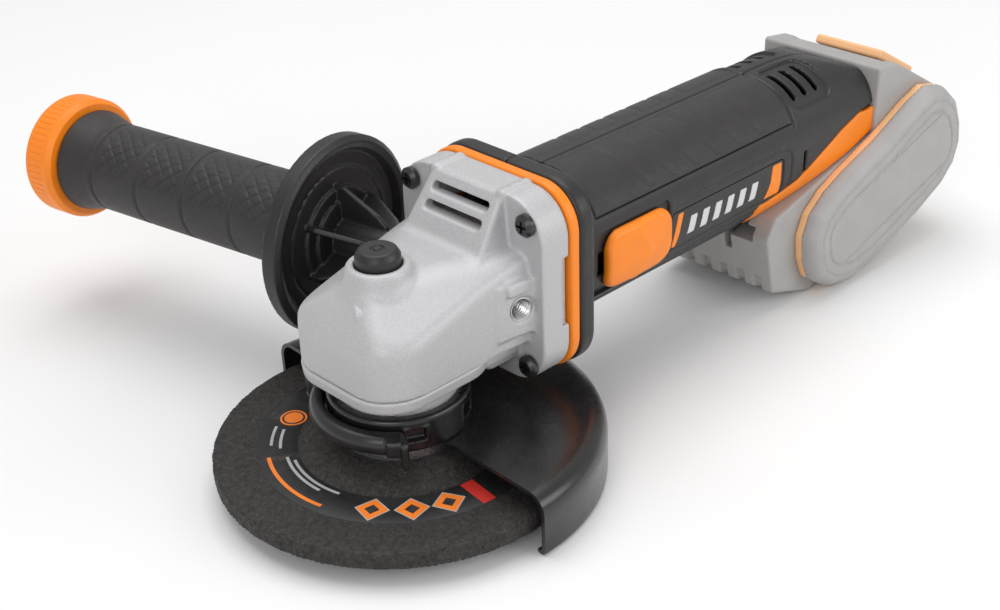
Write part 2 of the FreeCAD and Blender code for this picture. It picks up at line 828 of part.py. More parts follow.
def screw(name, head_dia, head_tall, shank_dia, length):
    """A pan-head screw about its own Z axis: head below zero, shank above it."""
    return turned(name, [
        (0, -head_tall), (head_dia / 2 - 1.2, -head_tall), (head_dia / 2, -head_tall + 1.2),
        (head_dia / 2, 0), (shank_dia / 2, 0), (shank_dia / 2, length - 1.5),
        (shank_dia / 2 - 1, length), (0, length),
    ])


def cross_slot(name, at, head_tall, turn):
    """A cross-shaped recess to cut into a screw's head."""
    arms = [block(name + "_arm", (-a, -b, -head_tall - 1), (a, b, -head_tall + 1.3))
            for a, b in ((2.0, 0.45), (0.45, 2.0))]
    thing = join(name, *arms)
    return place(thing, at, turn)


def make_screw_set(label, places, head_dia, head_tall, shank_dia, length, turn):
    """One node that holds every screw of a kind."""
    screws = []
    for number, at in enumerate(places):
        blank = place(screw("%s_%d" % (label, number), head_dia, head_tall, shank_dia, length), at, turn)
        screws.append(cut("%s_cut_%d" % (label, number), blank,
                          cross_slot("%s_slot_%d" % (label, number), at, head_tall, turn)))
    doc.recompute()
    group = doc.addObject("Part::Compound", label + "_set")
    group.Links = screws
    keep(group, label)


def make_case_fasteners():
    make_screw_set("cover_screws", cover_screw_places(cover_low), d.cover_screw_head, d.cover_head_tall,
                   d.cover_screw_dia, d.cover_screw_long, Rotation())
    make_screw_set("gear_case_screws", case_screw_places(d.flange_front), d.case_screw_head, 2.6,
                   d.case_screw_dia, d.case_screw_long, TURNS["x"])


# ---------------------------------------------------------------- bearings
def bearing(label, outside, bore, width, at, along):
    """A shielded ball bearing as one ring, its side faces dished between the races."""
    third = (outside - bore) / 6
    inner, outer = bore / 2, outside / 2
    dish = 0.5
    keep(turned(label + "_ring", [
        (inner, 0), (inner + third, 0), (inner + third, dish), (outer - third, dish), (outer - third, 0),
        (outer, 0), (outer, width), (outer - third, width), (outer - third, width - dish),
        (inner + third, width - dish), (inner + third, width), (inner, width),
    ], at, along), label)


def make_bearings():
    bearing("spindle_bearing", d.low_bearing_dia, d.journal_dia + 2 * d.run_gap, d.low_bearing_wide,
            (0, 0, rim + d.low_bearing_level), "z")
    keep(turned("top_bush", [
        (d.pilot_dia / 2 + d.run_gap, 0), (d.bush_dia / 2, 0), (d.bush_dia / 2, d.bush_long),
        (d.pilot_dia / 2 + d.run_gap, d.bush_long),
    ], (0, 0, rim + d.bush_level)), "spindle_bush")
    bearing("motor_front_bearing", d.front_bearing_dia, d.shaft_dia + 2 * d.run_gap, d.front_bearing_wide,
            (d.front_bearing_x, 0, axis_z), "x")
    bearing("motor_rear_bearing", d.rear_bearing_dia, d.shaft_dia + 2 * d.run_gap, d.rear_bearing_wide,
            (bell_rear - d.rear_bearing_wide - 1.5, 0, axis_z), "x")


# ---------------------------------------------------------------- spindle lock
def make_spindle_lock():
    low = rim + d.button_level
    radius = d.button_dia / 2
    button = turned("lock_button_blank", [
        (0, 0), (radius, 0), (radius, d.button_tall - 2.2), (radius - 0.6, d.button_tall - 0.9),
        (radius - 2, d.button_tall), (2.1, d.button_tall), (2.1, d.button_tall - 0.5),
        (1.3, d.button_tall - 0.5), (1.3, d.button_tall), (0, d.button_tall),
    ], (d.button_x, 0, low))
    keep(button, "lock_button")
    tip = axis_z - d.tooth_inner * cone - d.dedendum - 1.2 + 0.6
    pin = turned("lock_pin_blank", [
        (0, 0), (d.lock_pin_dia / 2 - 0.5, 0), (d.lock_pin_dia / 2, 0.5),
        (d.lock_pin_dia / 2, low - tip), (0, low - tip),
    ], (d.lock_pin_x, 0, tip))
    keep(pin, "lock_pin")
    floor = low - d.lock_travel - d.part_gap - d.spring_seat
    spring_length = low - floor - d.spring_wire
    helix = doc.addObject("Part::Helix", "lock_spring_path")
    bind(helix, "Radius", (d.spring_dia - d.spring_wire) / 2)
    bind(helix, "Height", spring_length)
    bind(helix, "Pitch", spring_length / d.spring_turns)
    helix.SegmentLength = 1
    place(helix, (d.spring_x, 0, floor + d.spring_wire / 2))
    wire = doc.addObject("Part::Circle", "lock_spring_wire")
    bind(wire, "Radius", d.spring_wire / 2)
    place(wire, (d.spring_x + (d.spring_dia - d.spring_wire) / 2, 0, floor + d.spring_wire / 2),
          Rotation(Vector(1, 0, 0), 90))
    spring = doc.addObject("Part::Sweep", "lock_spring_coil")
    spring.Sections = [wire]
    spring.Spine = (helix, [])
    spring.Solid = True
    spring.Frenet = True
    keep(spring, "lock_spring")


# ---------------------------------------------------------------- wheel guard
def make_guard():
    """Half-round sheet guard: a plate, a rounded shoulder, a skirt and a lip turned in."""
    outer = d.wheel_dia / 2 + d.guard_gap + d.guard_wall
    wall = d.guard_wall
    top = rim + d.guard_level
    low = rim - d.guard_drop
    bore = d.inner_flange_dia / 2 + 1.2
    bend = outer - d.guard_round
    bend_z = top - d.guard_round
    guard = turned("guard_sheet", [
        (bore, top), (bend, top, bend, bend_z), (outer, bend_z), (outer, low), (outer - d.guard_lip, low),
        (outer - d.guard_lip, low + wall), (outer - wall, low + wall), (outer - wall, bend_z, bend, bend_z),
        (bend, top - wall), (bore, top - wall),
    ], (0, 0, 0), "z", d.guard_start, d.guard_sweep)
    keep(guard, "wheel_guard")


def hinge_place(z):
    """The lever's hinge pin at one height."""
    return (hinge_radius * cosine(d.hinge_angle), hinge_radius * sine(d.hinge_angle), z)


def make_clamp():
    """Band round the neck, with two ears for the lever's pin and a window."""
    top = rim + d.clamp_top
    low = rim + d.guard_level
    outer = d.clamp_dia / 2
    neck = d.neck_dia / 2 + d.run_gap * 2
    step = neck_low - 0.4
    band = turned("clamp_band_ring", [
        (d.inner_flange_dia / 2 + 0.8, low), (outer, low), (outer, top), (neck, top), (neck, step),
        (d.inner_flange_dia / 2 + 0.8, step),
    ])
    eye = d.hinge_eye_dia / 2
    gap = d.part_gap
    ears = [
        rod("ear_top", eye, top - rim - d.lever_high - gap, hinge_place(rim + d.lever_high + gap)),
        rod("ear_low", eye, rim + d.lever_low - gap - low, hinge_place(low)),
    ]
    tie_top = slab("ear_tie_top", "XY_Plane", [
        (outer - 1.5, -eye), (hinge_radius, -eye), (hinge_radius, eye), (outer - 1.5, eye),
    ], top - rim - d.lever_high - gap)
    tie_low = slab("ear_tie_low", "XY_Plane", [
        (outer - 1.5, -eye), (hinge_radius, -eye), (hinge_radius, eye), (outer - 1.5, eye),
    ], rim + d.lever_low - gap - low)
    swing = Rotation(Vector(0, 0, 1), d.hinge_angle.value)
    place(tie_top, (0, 0, (top + rim + d.lever_high + gap) / 2), swing)
    place(tie_low, (0, 0, (low + rim + d.lever_low - gap) / 2), swing)
    pin_hole = rod("ear_hole", d.hinge_pin_dia / 2 + d.fit_gap, 20, hinge_place(low - 2))
    window = block("clamp_window", (-3.2, -outer - 2, rim + 12.8), (3.2, -outer + 5, rim + 17.2))
    free(window)
    window.Placement = FreeCAD.Placement(Vector(), Rotation(Vector(0, 0, 1), 28)).multiply(
        FreeCAD.Placement(Vector(-3.2, -outer.value - 2, rim.value + 12.8), Rotation()))
    bore = rod("clamp_bore", neck, 40, (0, 0, step))
    solid = join("clamp_solid", band, tie_top, tie_low, *ears)
    keep(cut("clamp", solid, pin_hole, bore), "guard_clamp")


def make_lever():
    """Quick-clamp lever: an eye on the pin, a thick arm round the band and a finger tab."""
    inner = d.clamp_dia / 2 + d.lever_gap
    outer = inner + d.lever_thick
    low, high = rim + d.lever_low, rim + d.lever_high
    arm = turned("lever_arm", [
        (inner, low), (outer - 1, low), (outer, low + 1), (outer, high - 1), (outer - 1, high), (inner, high),
    ], (0, 0, 0), "z", d.hinge_angle + 4, d.lever_end - d.hinge_angle - 4)
    eye = rod("lever_eye", d.hinge_eye_dia / 2, high - low, hinge_place(low))
    tab = turned("lever_tab", [
        (inner, low - 4), (outer + 2.5, low - 4), (outer + 2.5, high - 1), (outer, high), (inner, high),
    ], (0, 0, 0), "z", d.lever_end - 3, 6)
    hole = rod("lever_hole", d.hinge_pin_dia / 2 + d.run_gap, 20, hinge_place(low - 2))
    keep(cut("lever", join("lever_solid", arm, eye, tab), hole), "guard_lever")
    top = rim + d.clamp_top
    head = d.hinge_pin_dia / 2 + 1.4
    shank = d.hinge_pin_dia / 2
    pin_low = rim + d.guard_level
    keep(turned("lever_pin", [
        (0, pin_low), (shank, pin_low), (shank, top), (head, top), (head, top + 1.4),
        (head - 0.6, top + 2), (0, top + 2),
    ], hinge_place(0)), "lever_pin")


# ---------------------------------------------------------------- motor
can_rear = d.can_front + d.can_long
bell_rear = can_rear + d.end_bell_long
commutator_front = can_rear + 0.8


def make_motor():
    shaft = d.shaft_dia / 2
    shaft_rear = bell_rear - 1.5
    keep(turned("motor_shaft", [
        (0, d.shaft_front), (d.pinion_bore / 2 - d.fit_gap, d.shaft_front),
        (d.pinion_bore / 2 - d.fit_gap, d.tooth_outer + 3.2), (shaft, d.tooth_outer + 3.2),
        (shaft, shaft_rear), (0, shaft_rear),
    ], (0, 0, axis_z), "x"), "motor_shaft")

    core = d.can_dia / 2 - d.can_wall - d.magnet_thick - d.armature_gap
    bore = shaft + d.fit_gap
    front, rear = d.armature_front, d.armature_front + d.armature_long
    blank = turned("armature_blank", [
        (bore, front - 6), (core - 5, front - 6), (core - 2, front - 2), (core - 2, front), (core, front),
        (core, rear), (core - 2, rear), (core - 2, rear + 2), (core - 5, rear + 6), (bore, rear + 6),
    ], (0, 0, axis_z), "x")
    slot_count = 12
    grooves = []
    for number in range(slot_count):
        angle = 360.0 / slot_count * number
        groove = rod("armature_groove", 1.0, d.armature_long, along="x")
        reach = core - 0.4
        place(groove, (front, reach * cosine(as_size(angle)), axis_z + reach * sine(as_size(angle))),
              TURNS["x"])
        grooves.append(groove)
    keep(cut("armature_core", blank, *grooves), "armature")

    ring = d.commutator_dia / 2
    keep(turned("commutator_ring", [
        (bore, commutator_front), (ring + 1, commutator_front), (ring + 1, commutator_front + 1),
        (ring, commutator_front + 1), (ring, commutator_front + d.commutator_long),
        (bore, commutator_front + d.commutator_long),
    ], (0, 0, axis_z), "x"), "commutator")

    can = d.can_dia / 2
    can_in = can - d.can_wall
    keep(turned("can_shell", [
        (7, d.can_front), (can, d.can_front), (can, can_rear), (can_in, can_rear),
        (can_in, d.can_front + d.can_wall), (7, d.can_front + d.can_wall),
    ], (0, 0, axis_z), "x"), "motor_can")

    magnet_out = can_in - d.fit_gap
    magnet_in = magnet_out - d.magnet_thick
    magnets = [
        turned("magnet_%d" % number, [
            (magnet_in, d.armature_front - 2), (magnet_out, d.armature_front - 2),
            (magnet_out, d.armature_front + d.armature_long + 2),
            (magnet_in, d.armature_front + d.armature_long + 2),
        ], (0, 0, axis_z), "x", 180 * number - d.magnet_sweep / 2, d.magnet_sweep)
        for number in (0, 1)
    ]
    group = doc.addObject("Part::Compound", "magnet_pair")
    group.Links = magnets
    keep(group, "motor_magnets")


def make_fan():
    """Radial fan: a back disc on a hub with straight blades in front."""
    radius = d.fan_dia / 2
    bore = d.shaft_dia / 2 + d.fit_gap
    rear = d.fan_front + d.fan_long
    disc = turned("fan_disc", [
        (bore, d.fan_front), (bore + 3, d.fan_front), (bore + 3, rear - 1.4), (radius, rear - 1.4),
        (radius, rear), (bore, rear),
    ], (0, 0, axis_z), "x")
    blade = block("fan_blade", (d.fan_front, -0.6, bore + 2), (rear - 1, 0.6, radius - 1))
    blades = ring_of("fan_blade_ring", blade, int(d.fan_blades.value), Vector(1, 0, 0))
    place(blades, (0, 0, axis_z))
    keep(join("fan", disc, blades), "cooling_fan")


def make_end_bell():
    """Plastic end of the motor: holds the rear bearing and the two carbon brushes."""
    outer = d.can_dia / 2 - d.can_wall - d.fit_gap
    flange = d.can_dia / 2
    ring = d.commutator_dia / 2
    seat = d.rear_bearing_dia / 2 + d.fit_gap
    seat_front = bell_rear - d.rear_bearing_wide - 1.5
    bell = turned("end_bell_blank", [
        (outer - 3, can_rear - 3), (outer, can_rear - 3), (outer, can_rear), (flange, can_rear),
        (flange, can_rear + 2), (flange - 2, bell_rear), (5.5, bell_rear), (5.5, bell_rear - 1.5),
        (seat, bell_rear - 1.5), (seat, seat_front), (ring + 4.4, seat_front), (ring + 4.4, can_rear + 1),
        (outer - 3, can_rear + 1),
    ], (0, 0, axis_z), "x")
    brush_x = commutator_front + 2
    boxes = [
        block("brush_room", (brush_x - 0.1, -2.6, axis_z + side * 15 - 8), (brush_x + 6.1, 2.6, axis_z + side * 15 + 8))
        for side in (-1, 1)
    ]
    keep(cut("end_bell", bell, *boxes), "motor_end_bell")
    brushes = [
        block("brush_%d" % side, (brush_x, -2.5, axis_z + low), (brush_x + 6, 2.5, axis_z + high))
        for side, low, high in (
            (0, ring + d.part_gap, ring + d.part_gap + 9),
            (1, -ring - d.part_gap - 9, -ring - d.part_gap),
        )
    ]
    group = doc.addObject("Part::Compound", "brush_pair")
    group.Links = brushes
    keep(group, "carbon_brushes")


# ---------------------------------------------------------------- handle
def handle_form(name, grow=0, front=None, rear=None):
    """The handle's outer form, or the same form grown or shrunk by a distance."""
    grow = as_size(grow)
    side = d.grip_half + grow
    tail_side = d.tail_half + grow
    low = rim + d.grip_low - grow
    high = rim + d.grip_high + grow
    tail_high = rim + d.tail_high + grow
    corner = d.grip_corner + grow
    return lofted(name, "YZ_Plane", [
        (ring_rear if front is None else front, (-side, side), (low, high), corner),
        (d.shoulder_x, (-side, side), (low, high), corner),
        (d.tail_x if rear is None else rear, (-tail_side, tail_side), (low, tail_high), d.tail_corner + grow),
    ])


def below_slope(name, lift=0, front=None):
    """Everything under the battery slope, lifted by a distance."""
    fall = sine(d.slope) / cosine(d.slope)
    front = slope_x - 5 if front is None else front
    rear = d.tail_x + 20

    def level(x):
        return rim + d.slope_level + (as_size(x) - slope_x) * fall + lift

    return slab(name, "XZ_Plane", [
        (front, -60), (rear, -60), (rear, level(rear)), (front, level(front)),
    ], 160)


def ring_zone(name, outer_grow, inner_grow, box, *forms):
    """The layer between two sizes of the handle's form, inside a box."""
    layer = cut(name + "_layer", handle_form(name + "_outer", outer_grow), handle_form(name + "_inner", inner_grow))
    return shared(name, layer, box, *forms)


def half_space(name, side, low_z=-60, high_z=200):
    """All of one side of the tool's middle plane."""
    reach = 80
    if side > 0:
        return block(name, (ring_rear - 20, 0, low_z), (400, reach, high_z))
    return block(name, (ring_rear - 20, -reach, low_z), (400, 0, high_z))


TRIM_OUTLINE = [(-7, -20), (-7, 7.5), (1, 8.5), (14, 10.5), (26, 16.5), (41, 21.5), (53, 24.5), (68, 26), (68, -20)]
SHELL_SCREWS = [(137, 66), (137, 32), (176, 66), (214, 60)]   # x, height above the rim's face


def make_handle():
    collar = lofted("collar_form", "YZ_Plane", [
        (ring_rear, (-d.collar_half, d.collar_half), (axis_z - d.collar_half, axis_z + d.collar_half),
         d.collar_corner),
        (collar_rear - 2, (-d.collar_half, d.collar_half), (axis_z - d.collar_half, axis_z + d.collar_half),
         d.collar_corner),
        (collar_rear, (-d.collar_half + 2, d.collar_half - 2),
         (axis_z - d.collar_half + 2, axis_z + d.collar_half - 2), d.collar_corner - 2),
    ])
    outer = cut("handle_outer", handle_form("handle_skin"), below_slope("handle_foot_cut"))
    solid = join("handle_solid", outer, collar)

    room_form = handle_form("handle_room", -d.wall, ring_rear - 1, d.tail_x - d.wall)
    ribs = [
        cut("motor_rib_%d" % number,
            block("motor_rib_slab_%d" % number, (x, -40, 0), (x + 2.5, 40, 120)),
            rod("motor_rib_bore_%d" % number, d.can_dia / 2 + d.fit_gap, 10, (x - 2, 0, axis_z), "x"))
        for number, x in enumerate((d.can_front + 6, can_rear - 8))
    ]
    posts = [rod("screw_post_%d" % number, 4.0, 80, (x, -40, rim + height), "y")
             for number, (x, height) in enumerate(SHELL_SCREWS)]
    room = cut("handle_space", room_form, below_slope("room_floor", d.wall, slope_x - 5 - d.wall), *ribs, *posts)
    mouth = rod("collar_mouth", d.fan_room_dia / 2 - 0.5, d.collar_long - 1, (ring_rear - 1, 0, axis_z), "x")

    soft_box = block("soft_box", (d.soft_front, -60, rim + d.soft_level), (d.soft_rear, 60, 120))
    soft = ring_zone("soft_zone", 0, -d.soft_thick, soft_box)
    plates = ring_zone("plate_zone", 1, -d.plate_thick,
                       block("plate_box", (d.plate_front, -60, rim + d.plate_low),
                             (d.plate_rear, 60, rim + d.plate_high)))
    trim_form = slab("trim_form", "XZ_Plane",
                     [(slope_x + x, rim + d.slope_level + z) for x, z in TRIM_OUTLINE], 160)
    trim_cut = ring_zone("trim_zone", 1, -d.trim_thick, trim_form)
    travel = d.switch_travel + d.part_gap
    middle = (d.switch_low + d.switch_high) / 2
    switch_bed = ring_zone("switch_bed_zone", 2, -1.2, block(
        "switch_bed_box", (d.switch_front - travel - 1, -60, rim + d.switch_low - 1),
        (d.switch_rear + d.part_gap, 0, rim + d.switch_high + 1)))
    switch_slot = block("switch_slot",
                        (d.switch_front + 6 - travel, -40, rim + middle - d.switch_neck_half - d.part_gap),
                        (d.switch_rear - 6 + d.part_gap, -20, rim + middle + d.switch_neck_half + d.part_gap))
    air_slots = [
        block("tail_slot", (x, y - 5.5, rim + 62), (x + 2.6, y + 5.5, rim + 90))
        for x in (183.5, 190.5, 197.5) for y in (-14, 14)
    ]
    side_slots = [block("side_slot", (181.5, -60, rim + 41.5), (183, 60, rim + 50.5))]
    screw_holes = [rod("collar_hole", d.case_screw_dia / 2 + d.run_gap, 20, place_, "x")
                   for place_ in case_screw_places(ring_rear - 10)]
    post_holes = [rod("post_hole_%d" % number, 1.5 + d.run_gap, 34, (x, -10, rim + height), "y")
                  for number, (x, height) in enumerate(SHELL_SCREWS)]
    head_holes = [rod("head_hole_%d" % number, 3.2, 40, (x, d.grip_half - 12.0, rim + height), "y")
                  for number, (x, height) in enumerate(SHELL_SCREWS)]
    rod_window = block("rod_window", (d.can_front, -d.can_dia / 2 - 2.9, rim + middle - 3.6),
                       (bell_rear, -d.can_dia / 2, rim + middle + 3.6))
    shell = cut("handle_both", solid, room, mouth, soft, plates, trim_cut, switch_bed, switch_slot, rod_window,
                *air_slots, *side_slots, *screw_holes, *post_holes, *head_holes)
    for side, label in ((-1, "right_shell"), (1, "left_shell")):
        keep(shared(label + "_half", shell, half_space(label + "_side", side)), label)
    for side, label in ((-1, "right_soft_grip"), (1, "left_soft_grip")):
        grip = shared(label + "_half", soft, half_space(label + "_side", side))
        keep(cut(label + "_piece", grip, *head_holes) if side > 0 else grip, label)
    return trim_form


def make_handle_dress(trim_form):
    """Side plates and the coloured trims that edge the handle's foot."""
    for side, label in ((-1, "right"), (1, "left")):
        inset = 0.3
        box = block(label + "_plate_box", (d.plate_front + inset, -60, rim + d.plate_low + inset),
                    (d.plate_rear - inset, 60, rim + d.plate_high - inset))
        keep(ring_zone(label + "_plate_piece", -0.1, -d.plate_thick, box, half_space(label + "_plate_side", side)),
             label + "_side_plate")
        above = cut(label + "_trim_band", trim_form, below_slope(label + "_trim_cut"))
        inner_edge = block(label + "_trim_in", (0, 14, -60) if side > 0 else (0, -80, -60),
                           (400, 80, 200) if side > 0 else (400, -14, 200))
        layer = cut(label + "_trim_layer", handle_form(label + "_trim_outer", 0.3),
                    handle_form(label + "_trim_inner", -d.trim_thick))
        keep(shared(label + "_trim_piece", layer, above, inner_edge), label + "_trim")


def make_front_ring():
    """Coloured gasket between the gear case and the handle."""
    half = d.flange_half + 0.6
    ring = plate("front_ring_blank", "YZ_Plane", (-half, half), (axis_z - half, axis_z + half),
                 d.collar_corner - 0.6, d.flange_rear, ring_rear)
    opening = rod("ring_opening", d.fan_room_dia / 2, 20, (d.flange_rear - 5, 0, axis_z), "x")
    holes = [rod("ring_hole", d.case_screw_dia / 2 + d.hole_gap, 20, place_, "x")
             for place_ in case_screw_places(d.flange_rear - 5)]
    keep(cut("front_ring", ring, opening, *holes), "front_ring")


def make_shell_screws():
    screws = []
    for number, (x, height) in enumerate(SHELL_SCREWS):
        blank = screw("shell_screw_%d" % number, as_size(6.0), 2.4, as_size(3.0), 22)
        screws.append(place(blank, (x, d.grip_half - 12.0, rim + height), Rotation(Vector(1, 0, 0), 90)))
    group = doc.addObject("Part::Compound", "shell_screw_set")
    group.Links = screws
    keep(group, "shell_screws")


def make_switch():
    middle = rim + (d.switch_low + d.switch_high) / 2
    pad_box = plate("switch_pad_box", "XZ_Plane", (d.switch_front, d.switch_rear),
                    (rim + d.switch_low, rim + d.switch_high), 6, 15, 60)
    layer = cut("switch_layer", handle_form("switch_outer", d.switch_proud), handle_form("switch_inner", d.part_gap - 1.2))
    pad = shared("switch_pad", layer, pad_box)
    neck_x = (d.switch_front + 6, d.switch_rear - 6)
    neck = block("switch_neck", (neck_x[0], -d.grip_half + 0.6, middle - d.switch_neck_half),
                 (neck_x[1], -d.can_dia / 2 - 1.5, middle + d.switch_neck_half))
    keep(join("switch_button", pad, neck), "switch_button")
    foot = -d.can_dia / 2 - 1.5
    rod_rear = d.end_bell_long + can_rear + 8
    keep(block("switch_rod_bar", (neck_x[1] - 10, foot, middle - 3), (rod_rear, foot + 0.9, middle + 3)), "switch_rod")


# ---------------------------------------------------------------- inside the tail
def make_electrics():
    body_x = bell_rear + 14
    floor = rim + 36
    keep(block("switch_unit_box", (body_x, -16, floor), (body_x + 22, 6, floor + 18)), "switch_unit")
    board = block("board", (176.5, -18, rim + 54), (212, 18, rim + 55.6))
    keep(cut("board_piece", board, rod("board_hole", 4.6, 60, (176, -30, rim + 66), "y")), "controller_board")


def on_slope(thing):
    """Moves a piece from the slope's own frame: X up the slope, Z square to it."""
    turn = Rotation(Vector(0, 1, 0), -d.slope.value)
    base = Vector(slope_x.value, 0, (rim + d.slope_level).value)
    thing.Placement = FreeCAD.Placement(base, turn).multiply(thing.Placement)
    return thing


def rail_shape(name, gap=0, length=None, start=3):
    """T-shaped rail under the handle, or the slot for it when grown by a gap."""
    gap = as_size(gap)
    neck = d.rail_neck / 2 + gap
    foot = d.rail_wide / 2 + gap
    waist = -d.rail_tall / 2 + gap
    body = new_body(name)
    sketch = new_sketch(body, name + "_outline", "YZ_Plane", start)
    draw_outline(sketch, [
        (-neck, 0), (-neck, waist), (-foot, waist), (-foot, -d.rail_tall - gap), (foot, -d.rail_tall - gap),
        (foot, waist), (neck, waist), (neck, 0),
    ])
    pad = body.newObject("PartDesign::Pad", name + "_pad")
    pad.Profile = sketch
    bind(pad, "Length", d.rail_long if length is None else length)
    return body


def make_terminal_block():
    rail = rail_shape("rail")
    blades = [
        block("blade_%d" % side, (30, side * d.blade_y - d.blade_thick / 2, -d.rail_tall - 6),
              (48, side * d.blade_y + d.blade_thick / 2, -d.rail_tall + 2))
        for side in (-1, 1)
    ]
    pockets = [
        block("blade_pocket_%d" % side, (30, side * d.blade_y - d.blade_thick / 2, -d.rail_tall - 6),
              (48, side * d.blade_y + d.blade_thick / 2, -d.rail_tall + 2))
        for side in (-1, 1)
    ]
    keep(on_slope(cut("terminal_block", rail, *pockets)), "terminal_block")
    group = doc.addObject("Part::Compound", "blade_pair")
    group.Links = blades
    keep(on_slope(group), "terminal_blades")


# ---------------------------------------------------------------- battery
# Outline in the slope's frame, from the nose under the grip round to the top edge.
PACK_OUTLINE = [
    (7.5, -24), (9, -14), (14, -7.5), (23, -3.5), (34, -1.5), (60, 1), (84, 3.5), (96, 3.5), (105, -2),
    (111, -11), (113, -22), (112, -31), (107, -39), (98, -44), (80, -47.5), (42, -49.5), (27, -47.5),
    (16, -41.5), (9, -33),
]
CORE_OUTLINE = [
    (-1, -0.5), (-7, -6), (-8, -30), (12, -44), (40, -48), (66, -48.5), (94, -46.5), (103, -43),
    (110.5, -36.5), (112, -8), (84, 20.5), (73.2, 25.2), (66.2, -0.5),
]


def pack_slab(name, inset, thickness, side):
    """The battery's side outline, pulled in by an inset, as a slab on one side."""
    middle_u, middle_w = 60, -22
    share = 1 - as_size(inset) / 55
    points = [(middle_u + (u - middle_u) * share, middle_w + (w - middle_w) * share) for u, w in PACK_OUTLINE]
    return slab(name, "XZ_Plane", points, thickness, (0, side, 0))


def make_battery():
    cheek_in = d.pack_half - d.cheek_thick
    band_in = cheek_in - d.band_thick
    core = slab("pack_core", "XZ_Plane", CORE_OUTLINE, band_in * 2)
    rail_room = rail_shape("rail_room", d.part_gap, d.rail_long + 16, -12)
    blade_rooms = [
        block("blade_room_%d" % side, (-12, side * d.blade_y - 1.7, -d.rail_tall - 7.5),
              (50, side * d.blade_y + 1.7, -d.rail_tall))
        for side in (-1, 1)
    ]
    cell_room_top = -d.rail_tall - 8.5
    cell_room_low = cell_room_top - d.cell_dia - 1
    first_cell = 23.2
    room_front = first_cell - d.cell_dia / 2 - 0.5
    room_rear = first_cell + 4 * d.cell_pitch + d.cell_dia / 2 + 0.5
    cell_room = block("cell_room", (room_front, -d.cell_long / 2 - 0.5, cell_room_low),
                      (room_rear, d.cell_long / 2 + 0.5, cell_room_top))
    low_room = block("low_room", (34, -band_in + 3, -44.5), (92, band_in - 3, cell_room_low - 2))
    tilt = Rotation(Vector(0, 1, 0), 45)
    button_at = (98, 0, 6.2)
    half = d.pack_button_half
    button_room = block("button_room", (-14.4, -half - d.part_gap, -d.pack_button_travel - d.part_gap),
                        (14.4, half + d.part_gap, 12))
    free(button_room)
    button_room.Placement = FreeCAD.Placement(
        Vector(*button_at), tilt).multiply(FreeCAD.Placement(
            Vector(-14.4, -(half + d.part_gap).value, -(d.pack_button_travel + d.part_gap).value), Rotation()))
    keep(on_slope(cut("battery_core", core, rail_room, *blade_rooms, cell_room, low_room, button_room)),
         "battery_case")

    button = free(block("pack_button", (-14, -half, 0), (14, half, d.pack_button_thick)))
    button.Placement = FreeCAD.Placement(Vector(*button_at), tilt).multiply(
        FreeCAD.Placement(Vector(-14, -half.value, 0), Rotation()))
    keep(on_slope(button), "battery_button")

    for side, label in ((-1, "right"), (1, "left")):
        band = pack_slab(label + "_band_slab", 0.8, d.band_thick, side * (band_in + d.band_thick / 2))
        cheek = pack_slab(label + "_cheek_slab", 0, d.cheek_thick, side * (cheek_in + d.cheek_thick / 2))
        rooms = [block("%s_cell_room_%d" % (label, number), (room_front, -d.cell_long / 2 - 0.5, cell_room_low),
                       (room_rear, d.cell_long / 2 + 0.5, cell_room_top)) for number in (0, 1)]
        keep(on_slope(cut(label + "_band_piece", band, rooms[0])), label + "_battery_band")
        soften(cheek, 3.0, outer_edges(side))
        keep(on_slope(cut(label + "_cheek_piece", cheek, rooms[1])), label + "_battery_cheek")

    cells = []
    cell_z = (cell_room_top + cell_room_low) / 2
    for number in range(5):
        cell = rod("cell_%d" % number, d.cell_dia / 2, d.cell_long,
                   (first_cell + number * d.cell_pitch, -d.cell_long / 2, cell_z), "y")
        cells.append(cell)
    group = doc.addObject("Part::Compound", "cell_group")
    group.Links = cells
    keep(on_slope(group), "battery_cells")

    leaves = []
    for side in (-1, 1):
        for offset in (-1.5, 1.1):
            leaves.append(block("leaf", (32, side * d.blade_y + offset, -d.rail_tall - 7.5),
                                (44, side * d.blade_y + offset + 0.4, -d.rail_tall - 0.8)))
    group = doc.addObject("Part::Compound", "leaf_group")
    group.Links = leaves
    keep(on_slope(group), "battery_contacts")


def outer_edges(side):
    """Picks the edges round a cheek's outer face; the cheek is still centred on its own thickness."""
    def choose(edge):
        box = edge.BoundBox
        return box.YLength < 0.01 and abs(side * box.YMin - d.cheek_thick.value / 2) < 0.01
    return choose


# ---------------------------------------------------------------- side handle
def side_turned(name, profile):
    """A turned piece on the left socket's axis; heights run outward from the socket's face."""
    return along_socket(turned(name, profile), 1, 0)


